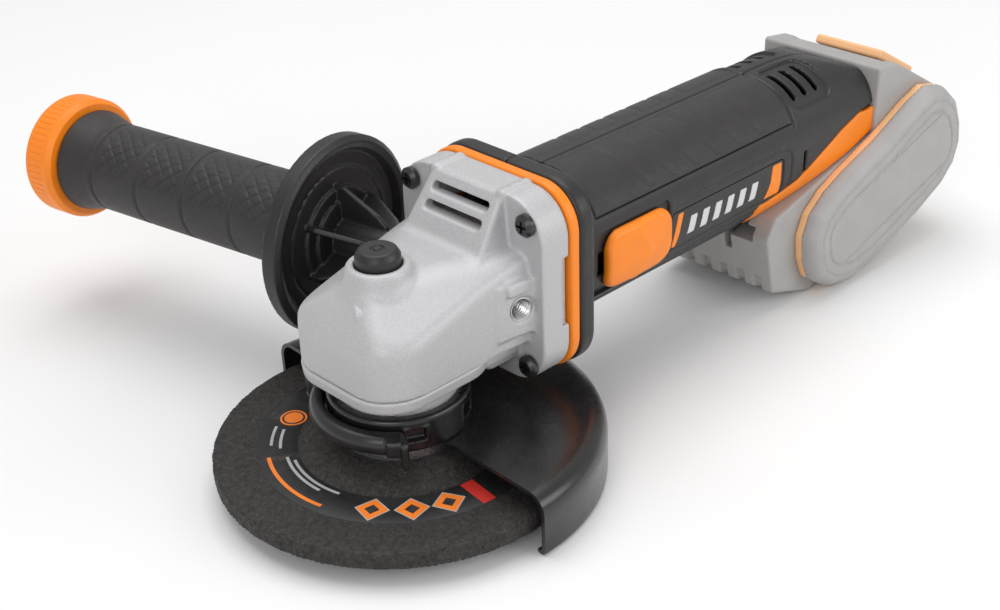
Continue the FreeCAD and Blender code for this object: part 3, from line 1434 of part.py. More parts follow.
def make_side_handle():
    stud = d.socket_dia / 2 - d.run_gap
    keep(side_turned("stud_blank", [
        (0, -d.socket_deep + 1), (stud - 0.8, -d.socket_deep + 1), (stud, -d.socket_deep + 1.8),
        (stud, d.stud_long), (0, d.stud_long),
    ]), "handle_stud")

    bore = d.socket_dia / 2
    sleeve = d.sleeve_dia / 2
    hub = d.shield_hub_dia / 2
    edge = d.shield_dia / 2
    at = d.shield_at
    back = at + d.shield_thick
    shield = side_turned("shield_blank", [
        (bore, d.sleeve_start), (sleeve, d.sleeve_start), (sleeve, at - 2), (hub, at - 2), (hub, at),
        (edge - 5, at + 1), (edge - 4, at - 2.2), (edge - 2, at - 3), (edge, at - 1.5),
        (edge, back + 0.5), (edge - 2, back + 1.6), (edge - 6, back), (bore, back),
    ])
    ribs = []
    for number in range(6):
        rib = slab("shield_rib_%d" % number, "XZ_Plane", [
            (sleeve - 1, d.sleeve_start + 2), (sleeve + 1.5, d.sleeve_start + 2), (hub + 3.5, at - 3),
            (hub + 3.5, at + 1), (sleeve - 1, at + 1),
        ], 2.0)
        along_socket(rib, 1, 0)
        rib.Placement = rib.Placement.multiply(
            FreeCAD.Placement(Vector(), Rotation(Vector(0, 0, 1), 60 * number + 30)))
        ribs.append(rib)
    keep(join("shield", shield, *ribs), "hand_guard")

    radius = d.side_grip_dia / 2
    profile = [(bore, back), (radius - 1, back), (radius, back + 2)]
    grooves = 4
    start = back + 10
    pitch = (d.side_grip_end - 16 - start) / grooves
    for number in range(grooves + 1):
        centre = start + number * pitch
        profile += [(radius, centre - 1.2), (radius - 0.9, centre), (radius, centre + 1.2)]
    flare = d.flare_dia / 2
    profile += [(radius, d.side_grip_end - 11), (flare, d.side_grip_end), (12, d.side_grip_end),
                (12, d.stud_long + 3), (bore, d.stud_long + 3)]
    keep(side_turned("side_grip", profile), "side_grip")

    cap = d.cap_dia / 2
    end = d.side_grip_end + d.cap_long
    keep(side_turned("cap", [
        (9, d.side_grip_end), (cap - 1.6, d.side_grip_end), (cap, d.side_grip_end + 2), (cap, end - 2.4),
        (cap - 2.4, end), (cap - 7, end), (cap - 8.5, end - 3), (0, end - 3), (0, end - 6), (9, end - 6),
    ]), "handle_cap")


# ---------------------------------------------------------------- build, check and write
def make_all():
    make_wheel()
    make_spindle()
    make_flanges()
    make_crown_gear()
    make_pinion()
    make_gear_case()
    make_cover()
    make_case_fasteners()
    make_bearings()
    make_spindle_lock()
    make_guard()
    make_clamp()
    make_lever()
    make_motor()
    make_fan()
    make_end_bell()
    trim_form = make_handle()
    make_handle_dress(trim_form)
    make_front_ring()
    make_shell_screws()
    make_switch()
    make_electrics()
    make_terminal_block()
    make_battery()
    make_side_handle()


def check_and_write():
    """Refuses to write anything unless every object computed and every sub-part is sound."""
    doc.recompute()
    faults = [
        "%s: %s" % (thing.Name, ", ".join(thing.State))
        for thing in doc.Objects if {"Invalid", "Error"} & set(thing.State)
    ]
    for node in NODES:
        if node.Shape.isNull() or not node.Shape.isValid() or not node.Shape.Solids:
            faults.append("%s: no sound solid" % node.Label)
    if len({node.Label for node in NODES}) != len(NODES):
        faults.append("two sub-parts share a name")
    if faults:
        raise RuntimeError("; ".join(faults))
    os.makedirs("parts", exist_ok=True)
    for node in NODES:
        node.Shape.exportStep(os.path.join("parts", node.Label + ".step"))
        print("%-22s %2d solid(s) %10.1f mm3" % (node.Label, len(node.Shape.Solids), node.Shape.Volume))


make_all()
check_and_write()
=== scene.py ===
# %% [markdown]
# # A cordless angle grinder
#
# The tool is a cast head with a grinding wheel under it, a slim handle that holds the motor, a battery that
# slides under the handle's tail, and a side handle that screws into the head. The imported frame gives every
# mechanical piece in its real place. This script adds what a maker sees and touches: cast and moulded skins
# with their fillets, rubber, paint, grit and wear.

import json
import math

import bmesh
import bpy
import numpy as np
from mathutils import Matrix, Vector

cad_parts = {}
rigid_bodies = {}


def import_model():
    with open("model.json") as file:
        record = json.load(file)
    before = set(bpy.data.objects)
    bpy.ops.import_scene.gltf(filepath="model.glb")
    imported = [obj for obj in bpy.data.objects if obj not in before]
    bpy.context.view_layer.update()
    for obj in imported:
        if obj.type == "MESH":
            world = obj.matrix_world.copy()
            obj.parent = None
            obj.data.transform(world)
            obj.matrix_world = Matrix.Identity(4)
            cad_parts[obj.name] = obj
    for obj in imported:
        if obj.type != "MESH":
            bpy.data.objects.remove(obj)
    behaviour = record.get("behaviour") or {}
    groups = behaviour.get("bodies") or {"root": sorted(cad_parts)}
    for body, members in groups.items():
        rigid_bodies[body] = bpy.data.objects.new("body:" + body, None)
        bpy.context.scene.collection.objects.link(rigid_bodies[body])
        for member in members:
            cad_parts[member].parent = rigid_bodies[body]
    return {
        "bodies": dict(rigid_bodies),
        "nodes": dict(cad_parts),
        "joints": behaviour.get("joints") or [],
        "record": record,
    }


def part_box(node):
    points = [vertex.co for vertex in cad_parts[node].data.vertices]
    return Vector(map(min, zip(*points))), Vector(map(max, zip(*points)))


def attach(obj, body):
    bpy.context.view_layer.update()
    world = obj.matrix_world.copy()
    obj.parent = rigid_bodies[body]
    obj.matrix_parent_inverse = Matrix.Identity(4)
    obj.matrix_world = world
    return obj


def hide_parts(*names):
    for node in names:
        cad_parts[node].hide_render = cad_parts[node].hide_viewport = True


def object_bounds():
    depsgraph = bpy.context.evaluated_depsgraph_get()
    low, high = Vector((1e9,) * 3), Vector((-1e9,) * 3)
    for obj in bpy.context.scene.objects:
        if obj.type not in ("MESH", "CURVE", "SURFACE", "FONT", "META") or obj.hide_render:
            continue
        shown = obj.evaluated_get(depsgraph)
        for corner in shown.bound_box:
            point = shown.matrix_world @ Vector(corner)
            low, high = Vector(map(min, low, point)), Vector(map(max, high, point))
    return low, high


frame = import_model()
cad_low, cad_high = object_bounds()
NODES = frame["nodes"]
MM = 0.001


def span(node):
    """A node's lowest and highest corner, in millimetres."""
    low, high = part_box(node)
    return np.array(low) / MM, np.array(high) / MM


print("frame", [round((b - a) / MM, 1) for a, b in zip(cad_low, cad_high)], "mm,", len(NODES), "nodes")

# %% [markdown]
# ## Camera, floor and light
#
# A product picture has one large soft light above, a weaker one from the side and a pale floor that runs out
# of the picture. A real floor plane catches the contact shadow, so it is better here than a plain background
# colour. Area lights give the long soft highlights that show a moulding's shape.

# %% Camera
CAMERA_AT = Vector((-0.2681, -0.3307, 0.2971))
YAW, PITCH, ROLL = math.radians(43.6), math.radians(29.37), math.radians(-1.97)


def aim_camera(place, yaw, pitch, roll, lens):
    """A camera whose forward, right and up directions come from its heading, its dip and its roll."""
    forward = Vector((math.sin(yaw) * math.cos(pitch), math.cos(yaw) * math.cos(pitch), -math.sin(pitch)))
    level = Vector((math.cos(yaw), -math.sin(yaw), 0))
    above = level.cross(forward)
    right = math.cos(roll) * level + math.sin(roll) * above
    up = math.cos(roll) * above - math.sin(roll) * level
    data = bpy.data.cameras.new("camera")
    data.lens = lens
    data.sensor_width = 36
    data.clip_start = 0.01
    camera = bpy.data.objects.new("camera", data)
    camera.matrix_world = Matrix.Translation(place) @ Matrix((right, up, -forward)).transposed().to_4x4()
    bpy.context.scene.collection.objects.link(camera)
    bpy.context.scene.camera = camera
    return camera


aim_camera(CAMERA_AT, YAW, PITCH, ROLL, 55.5)
print("camera", [round(c, 3) for c in CAMERA_AT])


# %% Lights and floor
def area_light(name, place, target, size, watts):
    """A rectangular lamp turned so that its own downward axis points at the target."""
    data = bpy.data.lights.new(name, "AREA")
    data.shape = "RECTANGLE"
    data.size, data.size_y = size
    data.energy = watts
    lamp = bpy.data.objects.new(name, data)
    lamp.location = place
    lamp.rotation_euler = (Vector(target) - Vector(place)).to_track_quat("-Z", "Y").to_euler()
    bpy.context.scene.collection.objects.link(lamp)


middle = (cad_low + cad_high) / 2
area_light("top_light", (0.15, 0.25, 1.15), middle, (1.1, 0.9), 8)
area_light("front_light", (-0.95, -0.55, 0.65), middle, (0.7, 0.7), 3.5)
area_light("right_light", (0.55, -0.95, 0.55), middle, (0.9, 0.5), 4)

world = bpy.data.worlds.new("studio")
bpy.context.scene.world = world
world.use_nodes = True
world.node_tree.nodes["Background"].inputs["Color"].default_value = (1, 1, 1, 1)
world.node_tree.nodes["Background"].inputs["Strength"].default_value = 0.55
bpy.context.scene.view_settings.view_transform = "Standard"


# %% [markdown]
# ## Meshes from arrays
#
# Every new piece is a mesh made at once from whole arrays: points, then faces. Two ways cover the tool.
# A turned or swept piece is a grid of points over two parameters. A cast or moulded piece, where every face
# runs into the next with a fillet, is easier as a field: a number at each point of space that is below zero
# inside the metal. Fields blend with a chosen radius, as a pattern maker fills the corners of a mould.

# %% From arrays to an object
def mesh_object(name, points, faces, body, node=None, angle=35.0, also=()):
    """Makes a closed mesh from points in millimetres and quads, and fastens it to a body of the frame."""
    mesh = bpy.data.meshes.new(name)
    mesh.from_pydata((np.asarray(points, float) * MM).tolist(), [],
                     faces.tolist() if isinstance(faces, np.ndarray) else faces)
    piece = bpy.data.objects.new(name, mesh)
    bpy.context.scene.collection.objects.link(piece)
    mend = bmesh.new()
    mend.from_mesh(mesh)
    bmesh.ops.remove_doubles(mend, verts=mend.verts, dist=1e-7)
    bmesh.ops.dissolve_degenerate(mend, edges=mend.edges, dist=1e-8)
    bmesh.ops.recalc_face_normals(mend, faces=mend.faces)
    for face in mend.faces:
        face.smooth = True
    sharp = math.radians(angle)
    for edge in mend.edges:
        if len(edge.link_faces) == 2 and edge.calc_face_angle(0) > sharp:
            edge.smooth = False
    mend.to_mesh(mesh)
    mend.free()
    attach(piece, body)
    if node:
        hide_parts(node, *also)
    print(f"{name}: {len(mesh.polygons)} faces")
    return piece


def grid_faces(rows, columns, wrap_rows=False, wrap_columns=False):
    """Quads over a grid of rows by columns, joined end to end in a direction that wraps."""
    row = np.arange(rows if wrap_rows else rows - 1)[:, None]
    column = np.arange(columns if wrap_columns else columns - 1)[None, :]
    below, beside = (row + 1) % rows, (column + 1) % columns
    corners = (row * columns + column, row * columns + beside, below * columns + beside, below * columns + column)
    return np.stack([np.broadcast_to(c, (row.size, column.size)).ravel() for c in corners], 1)


# %% Rounded outlines
def rounded(points, steps=5):
    """A polygon of (x, y, radius) corners as a smooth outline.

    At each corner the two sides are shortened by radius x tan(half the turn) and joined by a circular arc.
    """
    corners = np.array([p[:2] for p in points], float)
    out = []
    for i, (x, y, radius) in enumerate(points):
        here, back, ahead = corners[i], corners[i - 1], corners[(i + 1) % len(corners)]
        if radius <= 0:
            out.append(here[None])
            continue
        a, b = back - here, ahead - here
        a, b = a / np.linalg.norm(a), b / np.linalg.norm(b)
        half = math.acos(np.clip(np.dot(a, b), -1, 1)) / 2
        middle_way = (a + b) / np.linalg.norm(a + b)
        centre = here + middle_way * radius / math.sin(half)
        start, end = here + a * radius / math.tan(half) - centre, here + b * radius / math.tan(half) - centre
        share = np.linspace(0, 1, steps + 1)[:, None]
        turn = math.pi - 2 * half
        arc = (np.sin((1 - share) * turn) * start + np.sin(share * turn) * end) / math.sin(turn)
        out.append(centre + arc)
    return np.concatenate(out)


def even_steps(outline, step, closed=True):
    """Adds points to an outline so that no side is longer than step."""
    ends = np.roll(outline, -1, 0) if closed else outline[1:]
    starts = outline if closed else outline[:-1]
    counts = np.maximum(1, np.ceil(np.linalg.norm(ends - starts, axis=1) / step).astype(int))
    parts = [a + (b - a) * (np.arange(n) / n)[:, None] for a, b, n in zip(starts, ends, counts)]
    return np.concatenate(parts if closed else parts + [outline[-1:]])


# %% Turned pieces
def turned(name, outline, body, node=None, segments=128, at=(0, 0, 0), way=(0, 0, 1), shape=None,
           angle=35.0, sweep=(0, 360), also=()):
    """Turns a closed outline of (radius, height) about an axis.

    Point = place + radius x (cos t, sin t) across the axis + height along it. shape, if given, moves the grid
    of (radius, height) as a function of radius, height and angle, all as arrays.
    """
    whole = abs(sweep[1] - sweep[0]) >= 360
    turn = np.radians(np.linspace(sweep[0], sweep[1], segments, endpoint=not whole))
    radius, angle_grid = np.meshgrid(outline[:, 0], turn, indexing="ij")
    height = np.repeat(outline[:, 1][:, None], len(turn), 1)
    if shape is not None:
        radius, height = shape(radius, height, angle_grid)
    spin = np.array(Vector((0, 0, 1)).rotation_difference(Vector(way)).to_matrix())
    local = np.stack([radius * np.cos(angle_grid), radius * np.sin(angle_grid), height], -1).reshape(-1, 3)
    points = local @ spin.T + np.array(at, float)
    faces = grid_faces(len(outline), len(turn), True, whole)
    if not whole:
        ends = [np.arange(len(outline)) * len(turn), np.arange(len(outline)) * len(turn) + len(turn) - 1]
        return mesh_object(name, points, faces.tolist() + [ends[0].tolist(), ends[1][::-1].tolist()], body, node,
                           angle, also)
    return mesh_object(name, points, faces, body, node, angle, also)


# %% Fields for cast and moulded pieces
def blend(a, b, k):
    """Smooth union of two fields: where they are within k of each other, a fillet of about k / 2 fills in."""
    h = np.clip(0.5 + 0.5 * (b - a) / k, 0, 1)
    return b * (1 - h) + a * h - k * h * (1 - h)


def carve(a, b, k=0.6):
    """a with b taken out, its edges rounded over k."""
    return -blend(-a, b, k)


def both(a, b, k=0.6):
    """What a and b share, its edges rounded over k."""
    return -blend(-a, -b, k)


def box_field(x, y, z, low, high, r=1.0):
    """Distance to a box with edges of radius r: the box drawn in by r, then grown again by r."""
    gaps = [np.abs(c - (a + b) / 2) - (b - a) / 2 + r for c, a, b in zip((x, y, z), low, high)]
    outside = np.sqrt(sum(np.maximum(g, 0) ** 2 for g in gaps))
    return outside + np.minimum(np.maximum(np.maximum(gaps[0], gaps[1]), gaps[2]), 0) - r


def rod_field(x, y, z, at, way, radius, low=-1e3, high=1e3):
    """Distance to a rod about a line through at: across it, distance to the line less the radius."""
    way = np.array(way, float) / np.linalg.norm(way)
    dx, dy, dz = x - at[0], y - at[1], z - at[2]
    along = dx * way[0] + dy * way[1] + dz * way[2]
    across = np.sqrt(np.maximum(dx * dx + dy * dy + dz * dz - along * along, 0)) - radius
    return np.maximum(across, np.maximum(low - along, along - high))


def polygon_field(u, v, corners, r=0.0):
    """Distance in the plane to a polygon, negative inside, with corners rounded by r.

    The distance is to the nearest side; a point is inside if a ray from it crosses an odd number of sides.
    """
    best = np.full(np.shape(u), 1e9, np.float32)
    sign = np.ones(np.shape(u), np.float32)
    for (ax, ay), (bx, by) in zip(corners, corners[1:] + corners[:1]):
        ex, ey, wx, wy = bx - ax, by - ay, u - ax, v - ay
        t = np.clip((wx * ex + wy * ey) / (ex * ex + ey * ey), 0, 1)
        best = np.minimum(best, (wx - ex * t) ** 2 + (wy - ey * t) ** 2)
        over = (v >= ay, v < by, ex * wy > ey * wx)
        cross = (over[0] & over[1] & over[2]) | (~over[0] & ~over[1] & ~over[2])
        sign = np.where(cross, -sign, sign)
    return sign * np.sqrt(best) - r


def slab_field(flat, across, low, high):
    """A flat outline's field carried from low to high across it."""
    return np.maximum(flat, np.maximum(low - across, across - high))


# %% From a field to a skin
EDGES = [(a, a | (1 << d)) for a in range(8) for d in range(3) if not a & (1 << d)]
OFFSETS = np.array([[i & 1, (i >> 1) & 1, (i >> 2) & 1] for i in range(8)])


def skin(name, field, low, high, cell, body, node=None, angle=60.0, polish=3, also=()):
    """Finds the surface where a field is zero.

    A grid of cells fills the box. Each cell that the surface passes through gets one point, the mean of where
    its edges cross the surface, and each grid edge that crosses it joins the four cells around it with a quad.
    The points then slide down the field's slope until they lie on the surface.
    """
    axes = [np.arange(a, b + cell, cell, dtype=np.float32) for a, b in zip(low, high)]
    values = field(*np.meshgrid(*axes, indexing="ij"))
    for axis in range(3):
        np.moveaxis(values, axis, 0)[[0, -1]] = 1.0
    inside = values < 0
    shape = [n - 1 for n in values.shape]
    corner = [inside[o[0]:o[0] + shape[0], o[1]:o[1] + shape[1], o[2]:o[2] + shape[2]] for o in OFFSETS]
    count = sum(c.astype(np.int8) for c in corner)
    cells = np.argwhere((count > 0) & (count < 8))
    number = np.full(shape, -1)
    number[tuple(cells.T)] = np.arange(len(cells))
    total, hits = np.zeros((len(cells), 3)), np.zeros(len(cells))
    for a, b in EDGES:
        fa, fb = (values[tuple((cells + OFFSETS[k]).T)] for k in (a, b))
        crossed = (fa < 0) != (fb < 0)
        share = np.where(crossed, fa / np.where(crossed, fa - fb, 1), 0)
        total += crossed[:, None] * (OFFSETS[a] + share[:, None] * (OFFSETS[b] - OFFSETS[a]))
        hits += crossed
    points = np.array([a[0] for a in axes]) + cell * (cells + total / hits[:, None])
    faces = []
    for axis in range(3):
        one, two = (axis + 1) % 3, (axis + 2) % 3
        first = np.moveaxis(inside, (axis, one, two), (0, 1, 2))
        edge = np.argwhere(first[:-1, 1:-1, 1:-1] != first[1:, 1:-1, 1:-1])
        solid_first = first[edge[:, 0], edge[:, 1] + 1, edge[:, 2] + 1]
        around = np.moveaxis(number, (axis, one, two), (0, 1, 2))
        quad = np.stack([around[edge[:, 0], edge[:, 1] + i, edge[:, 2] + j]
                         for i, j in ((0, 0), (1, 0), (1, 1), (0, 1))], 1)
        faces.append(np.where(solid_first[:, None], quad, quad[:, ::-1]))
    for _ in range(polish):
        points = slide_to_surface(field, points, cell)
    return mesh_object(name, points, np.concatenate(faces), body, node, angle, also)


def slide_to_surface(field, points, cell):
    """One step of Newton's method: move by value / slope along the slope, at most a third of a cell."""
    small = 0.05
    value = field(*points.T)
    slope = np.stack([
        (field(*(points + step).T) - field(*(points - step).T)) / (2 * small)
        for step in np.eye(3) * small
    ], 1)
    move = -value[:, None] * slope / np.maximum((slope ** 2).sum(1), 0.2)[:, None]
    length = np.linalg.norm(move, axis=1, keepdims=True)
    return points + move * np.minimum(1, cell / 3 / np.maximum(length, 1e-9))


# %% [markdown]
# ## Finishes
#
# Each finish is a few noises on the piece's own coordinates: a slow one shifts the colour and the gloss, a
# fine one raises the grain. The grain's size is what tells rubber from paint or cast metal, so it is set in
# millimetres. Numbers that are the same all over go straight on the shader.

# %% Building a finish
def new_finish(name, colour, roughness, metallic=0.0, coat=0.0, sheen=0.0):
    """A material with its shader's own values set, returned with its node tree and shader."""
    material = bpy.data.materials.new(name)
    material.use_nodes = True
    material.diffuse_color = (*colour, 1)
    tree = material.node_tree
    shader = tree.nodes["Principled BSDF"]
    shader.inputs["Base Color"].default_value = (*colour, 1)
    shader.inputs["Roughness"].default_value = roughness
    shader.inputs["Metallic"].default_value = metallic
    shader.inputs["Coat Weight"].default_value = coat
    shader.inputs["Coat Roughness"].default_value = 0.25
    shader.inputs["Sheen Weight"].default_value = sheen
    return material, tree, shader


def node(tree, kind, inputs=(), **settings):
    """A node of a kind, with its settings, and values or links for its inputs."""
    made = tree.nodes.new(kind)
    for key, value in settings.items():
        setattr(made, key, value)
    for key, value in dict(inputs).items():
        if isinstance(value, bpy.types.NodeSocket):
            tree.links.new(value, made.inputs[key])
        else:
            made.inputs[key].default_value = value
    return made


def place_of(tree):
    """The point's place in the piece's own coordinates."""
    return node(tree, "ShaderNodeTexCoord").outputs["Object"]


def noise(tree, size_mm, detail=2.0, stretch=None, roughness=0.5):
    """Noise whose lumps are about size_mm across, stretched along an axis for brushed metal."""
    place = place_of(tree)
    if stretch:
        place = node(tree, "ShaderNodeMapping", {"Vector": place, "Scale": stretch}).outputs[0]
    return node(tree, "ShaderNodeTexNoise", {
        "Vector": place, "Scale": 1 / (size_mm * MM), "Detail": detail, "Roughness": roughness,
    }).outputs["Fac"]


def spread(tree, value, low, high, start=0.35, end=0.65):
    """Carries a noise from its middle range to low..high."""
    return node(tree, "ShaderNodeMapRange", {
        "Value": value, "From Min": start, "From Max": end, "To Min": low, "To Max": high,
    }).outputs[0]


def mix_colour(tree, share, first, second):
    """first x (1 - share) + second x share; each is a colour or a link."""
    made = node(tree, "ShaderNodeMix", data_type="RGBA")
    for socket, value in ((made.inputs[0], share), (made.inputs[6], first), (made.inputs[7], second)):
        if isinstance(value, bpy.types.NodeSocket):
            tree.links.new(value, socket)
        else:
            socket.default_value = value if isinstance(value, float) else (*value, 1)
    return made.outputs[2]


def bumps(tree, shader, layers):
    """Stacks bumps: each layer is a height, its depth in millimetres and its strength."""
    normal = None
    for height, depth, strength in layers:
        inputs = {"Height": height, "Distance": depth * MM, "Strength": strength}
        if normal:
            inputs["Normal"] = normal
        normal = node(tree, "ShaderNodeBump", inputs).outputs[0]
    tree.links.new(normal, shader.inputs["Normal"])


def tinted(tree, shader, colour, size_mm, amount, detail=3.0):
    """Base colour that drifts by amount either way over lumps of size_mm."""
    dark = tuple(c * (1 - amount) for c in colour)
    light = tuple(min(1, c * (1 + amount)) for c in colour)
    drift = mix_colour(tree, spread(tree, noise(tree, size_mm, detail), 0.0, 1.0), dark, light)
    tree.links.new(drift, shader.inputs["Base Color"])
    return drift


def edge_wear(tree, shader, base, worn, amount):
    """Lightens the base colour where the surface turns sharply outward, as handling rubs an edge."""
    pointed = node(tree, "ShaderNodeNewGeometry").outputs["Pointiness"]
    patchy = node(tree, "ShaderNodeMath", {0: spread(tree, pointed, 0.0, 1.0, 0.52, 0.60),
                                          1: spread(tree, noise(tree, 2.5, 4.0), 0.0, amount)},
                  operation="MULTIPLY").outputs[0]
    tree.links.new(mix_colour(tree, patchy, base, worn), shader.inputs["Base Color"])


# %% [markdown]
# ### Cast metal, paint and steel
#
# The head is sand-cast light alloy, shot-blasted: pale, softly shining, with a fine sparkle of pits. The
# guard is steel under black powder paint, which flows into a slight orange peel. Machined steel carries
# turning marks.

# %% Metals and paint
def cast_alloy():
    """Pale metal: fine pits half a millimetre apart, and slow waves from the sand."""
    colour = (0.50, 0.50, 0.51)
    material, tree, shader = new_finish("cast_alloy", colour, 0.52, 0.35)
    base = tinted(tree, shader, colour, 0.5, 0.09)
    edge_wear(tree, shader, base, (0.66, 0.66, 0.67), 0.5)
    tree.links.new(spread(tree, noise(tree, 0.5, 3.0), 0.46, 0.62), shader.inputs["Roughness"])
    bumps(tree, shader, [(noise(tree, 0.45, 3.0, roughness=0.7), 0.08, 0.35), (noise(tree, 5.0, 2.0), 0.25, 0.12)])
    return material


def painted_black(name="guard_paint", rough=0.27):
    """Black paint whose skin rises and falls a little over a millimetre or two."""
    colour = (0.010, 0.010, 0.011)
    material, tree, shader = new_finish(name, colour, rough, 0.0, 0.3)
    base = tinted(tree, shader, colour, 9.0, 0.2)
    edge_wear(tree, shader, base, (0.03, 0.03, 0.03), 0.3)
    tree.links.new(spread(tree, noise(tree, 6.0, 2.0), rough - 0.02, rough + 0.03), shader.inputs["Roughness"])
    bumps(tree, shader, [(noise(tree, 1.4, 1.0), 0.12, 0.12)])
    return material


def steel(name, colour, roughness, stretch=None, metallic=1.0):
    """Bare metal with fine marks, drawn out along an axis if stretch is given."""
    material, tree, shader = new_finish(name, colour, roughness, metallic)
    tinted(tree, shader, colour, 3.0, 0.06)
    tree.links.new(spread(tree, noise(tree, 0.35, 2.0, stretch), roughness - 0.06, roughness + 0.12),
                   shader.inputs["Roughness"])
    bumps(tree, shader, [(noise(tree, 0.3, 2.0, stretch), 0.04, 0.25)])
    return material


# %% [markdown]
# ### Plastics and rubber
#
# Moulded nylon has a spark-eroded grain about a third of a millimetre across. The overmoulded rubber is
# duller and a little browner, with a softer grain. The orange parts are smoother and shine more.

# %% Plastics
def moulded(name, colour, roughness, grain=0.35, depth=0.05, drift=0.08, coat=0.0, sheen=0.0, wear=None):
    """Plastic with a fine grain, a slow drift of colour and gloss, and rubbed edges if wear is a colour."""
    material, tree, shader = new_finish(name, colour, roughness, 0.0, coat, sheen)
    base = tinted(tree, shader, colour, 8.0, drift)
    if wear:
        edge_wear(tree, shader, base, wear, 0.5)
    tree.links.new(spread(tree, noise(tree, 1.2, 3.0), roughness - 0.05, roughness + 0.07),
                   shader.inputs["Roughness"])
    bumps(tree, shader, [(noise(tree, grain, 2.0), depth, 0.35), (noise(tree, 9.0, 1.0), 0.12, 0.10)])
    return material


ORANGE = (0.92, 0.235, 0.004)
CHARCOAL = (0.017, 0.0155, 0.0155)

# %% [markdown]
# ### Bonded grit
#
# A grinding wheel is grains of abrasive in dark resin. Cells of two sizes give the grains: their edges are
# the gaps between them, and each cell gets its own shade, from near black to brown.

# %% Grinding wheel
def abrasive():
    """Grit: cells give each grain its height and shade, and a few noise peaks glint."""
    colour = (0.030, 0.026, 0.023)
    material, tree, shader = new_finish("abrasive", colour, 0.72)
    place = place_of(tree)
    grains = node(tree, "ShaderNodeTexVoronoi", {"Vector": place, "Scale": 1 / (0.85 * MM)})
    shade = spread(tree, grains.outputs["Color"], 0.0, 1.0, 0.2, 0.9)
    base = mix_colour(tree, shade, (0.012, 0.0105, 0.010), (0.036, 0.031, 0.028))
    glint = spread(tree, noise(tree, 0.4, 2.0), 0.0, 1.0, 0.66, 0.72)
    tree.links.new(mix_colour(tree, glint, base, (0.16, 0.15, 0.14)), shader.inputs["Base Color"])
    tree.links.new(spread(tree, noise(tree, 2.5, 3.0), 0.55, 0.85), shader.inputs["Roughness"])
    bumps(tree, shader, [(grains.outputs["Distance"], 0.30, 0.55), (noise(tree, 0.5, 4.0), 0.25, 0.5),
                         (noise(tree, 4.0, 2.0), 0.2, 0.12)])
    return material


FINISH = {
    "cast_alloy": cast_alloy(),
    "guard_paint": painted_black(),
    "bright_steel": steel("bright_steel", (0.62, 0.62, 0.63), 0.28),
    "blackened_steel": painted_black("blackened_steel", 0.35),
    "gear_steel": steel("gear_steel", (0.36, 0.36, 0.38), 0.33),
    "copper": steel("copper", (0.72, 0.36, 0.2), 0.3),
    "abrasive": abrasive(),
    "dark_plastic": moulded("dark_plastic", CHARCOAL, 0.42, wear=(0.05, 0.048, 0.048)),
    "soft_rubber": moulded("soft_rubber", (0.022, 0.0195, 0.0195), 0.55, 0.5, 0.06, 0.12, sheen=0.05),
    "orange_plastic": moulded("orange_plastic", ORANGE, 0.42, 0.6, 0.03, 0.03),
    "magnet": steel("magnet", (0.10, 0.10, 0.11), 0.6, metallic=0.5),
    "motor_steel": steel("motor_steel", (0.33, 0.33, 0.34), 0.38, (1.0, 0.15, 0.15)),
    "cell_can": moulded("cell_can", (0.10, 0.30, 0.16), 0.35),
    "board_green": moulded("board_green", (0.03, 0.16, 0.07), 0.4),
    "pack_grey": moulded("pack_grey", (0.37, 0.36, 0.355), 0.50, 0.35, 0.04, 0.03),
    "pack_peach": moulded("pack_peach", (0.90, 0.50, 0.24), 0.42, 0.5, 0.03, 0.03),
}
SLOT_OF = {row["node"]: row["material_slot"] for row in frame["record"]["subparts"]}
for label, thing in NODES.items():
    thing.data.materials.clear()
    thing.data.materials.append(FINISH[SLOT_OF[label]])
print(len(FINISH), "finishes")


def dress(piece, slot, finish=None):
    """Gives a piece the finish named finish, or else the finish that has the slot's name."""
    piece.data.materials.clear()
    piece.data.materials.append(FINISH[finish or slot])
    return piece


def skin_of(node_name, field, cell, body, slot, finish=None, name=None):
    """A skin in place of one node: its grid fills the node's box and 1 mm round it."""
    low, high = span(node_name)
    piece = skin(name or node_name + "_skin", field, low - 1, high + 1, cell, body, node_name)
    return dress(piece, slot, finish)


def on_side(field, sign):
    """The same field with its side of the tool settled: -1 is right and 1 is left."""
    return lambda x, y, z: field(x, y, z, sign)


# %% [markdown]
# ## The cast gear case
#
# The real case is one casting: a blunt nose over the spindle, a square flange for the motor, an air hump
# between them, and a boss on each side for the side handle. Box modelling with bevels would need every fillet
# cut by hand. As a field, each form is one line, and the blend radius is the pattern maker's fillet.

# %% Main lines of the head
case_low, case_high = span("gear_case")
cover_low, cover_high = span("gear_case_cover")
button_low, button_high = span("lock_button")
flange_half = case_high[1]
axis_z = (span("motor_can")[0][2] + span("motor_can")[1][2]) / 2
flange_rear = case_high[0]
flange_front = flange_rear - 13
head_half = 26.0
nose_x = case_low[0]
seam_z = cover_high[2]
head_top = button_low[2] - 1.9
button_x = (button_low[0] + button_high[0]) / 2
screw_y, screw_z = 26.7, 25.55
slots_z = (80.0, 85.2)
socket_x, socket_y, socket_z, socket_tilt = 30.1, 28.0, 56.0, math.radians(10.5)
socket_way = (-math.sin(socket_tilt), math.cos(socket_tilt), 0)


def rounded_square(u, v, half_u, half_v, r):
    """Distance to a rounded rectangle in a plane, negative inside."""
    gap_u, gap_v = np.abs(u) - half_u + r, np.abs(v) - half_v + r
    return np.hypot(np.maximum(gap_u, 0), np.maximum(gap_v, 0)) + np.minimum(np.maximum(gap_u, gap_v), 0) - r


def socket_height(x, side):
    """Height above the socket's face, along the socket's own axis."""
    return (side - socket_y) * socket_way[1] + (x - socket_x) * socket_way[0]


print("case axis", round(axis_z, 1), "seam", round(seam_z, 1), "top", round(head_top, 1))


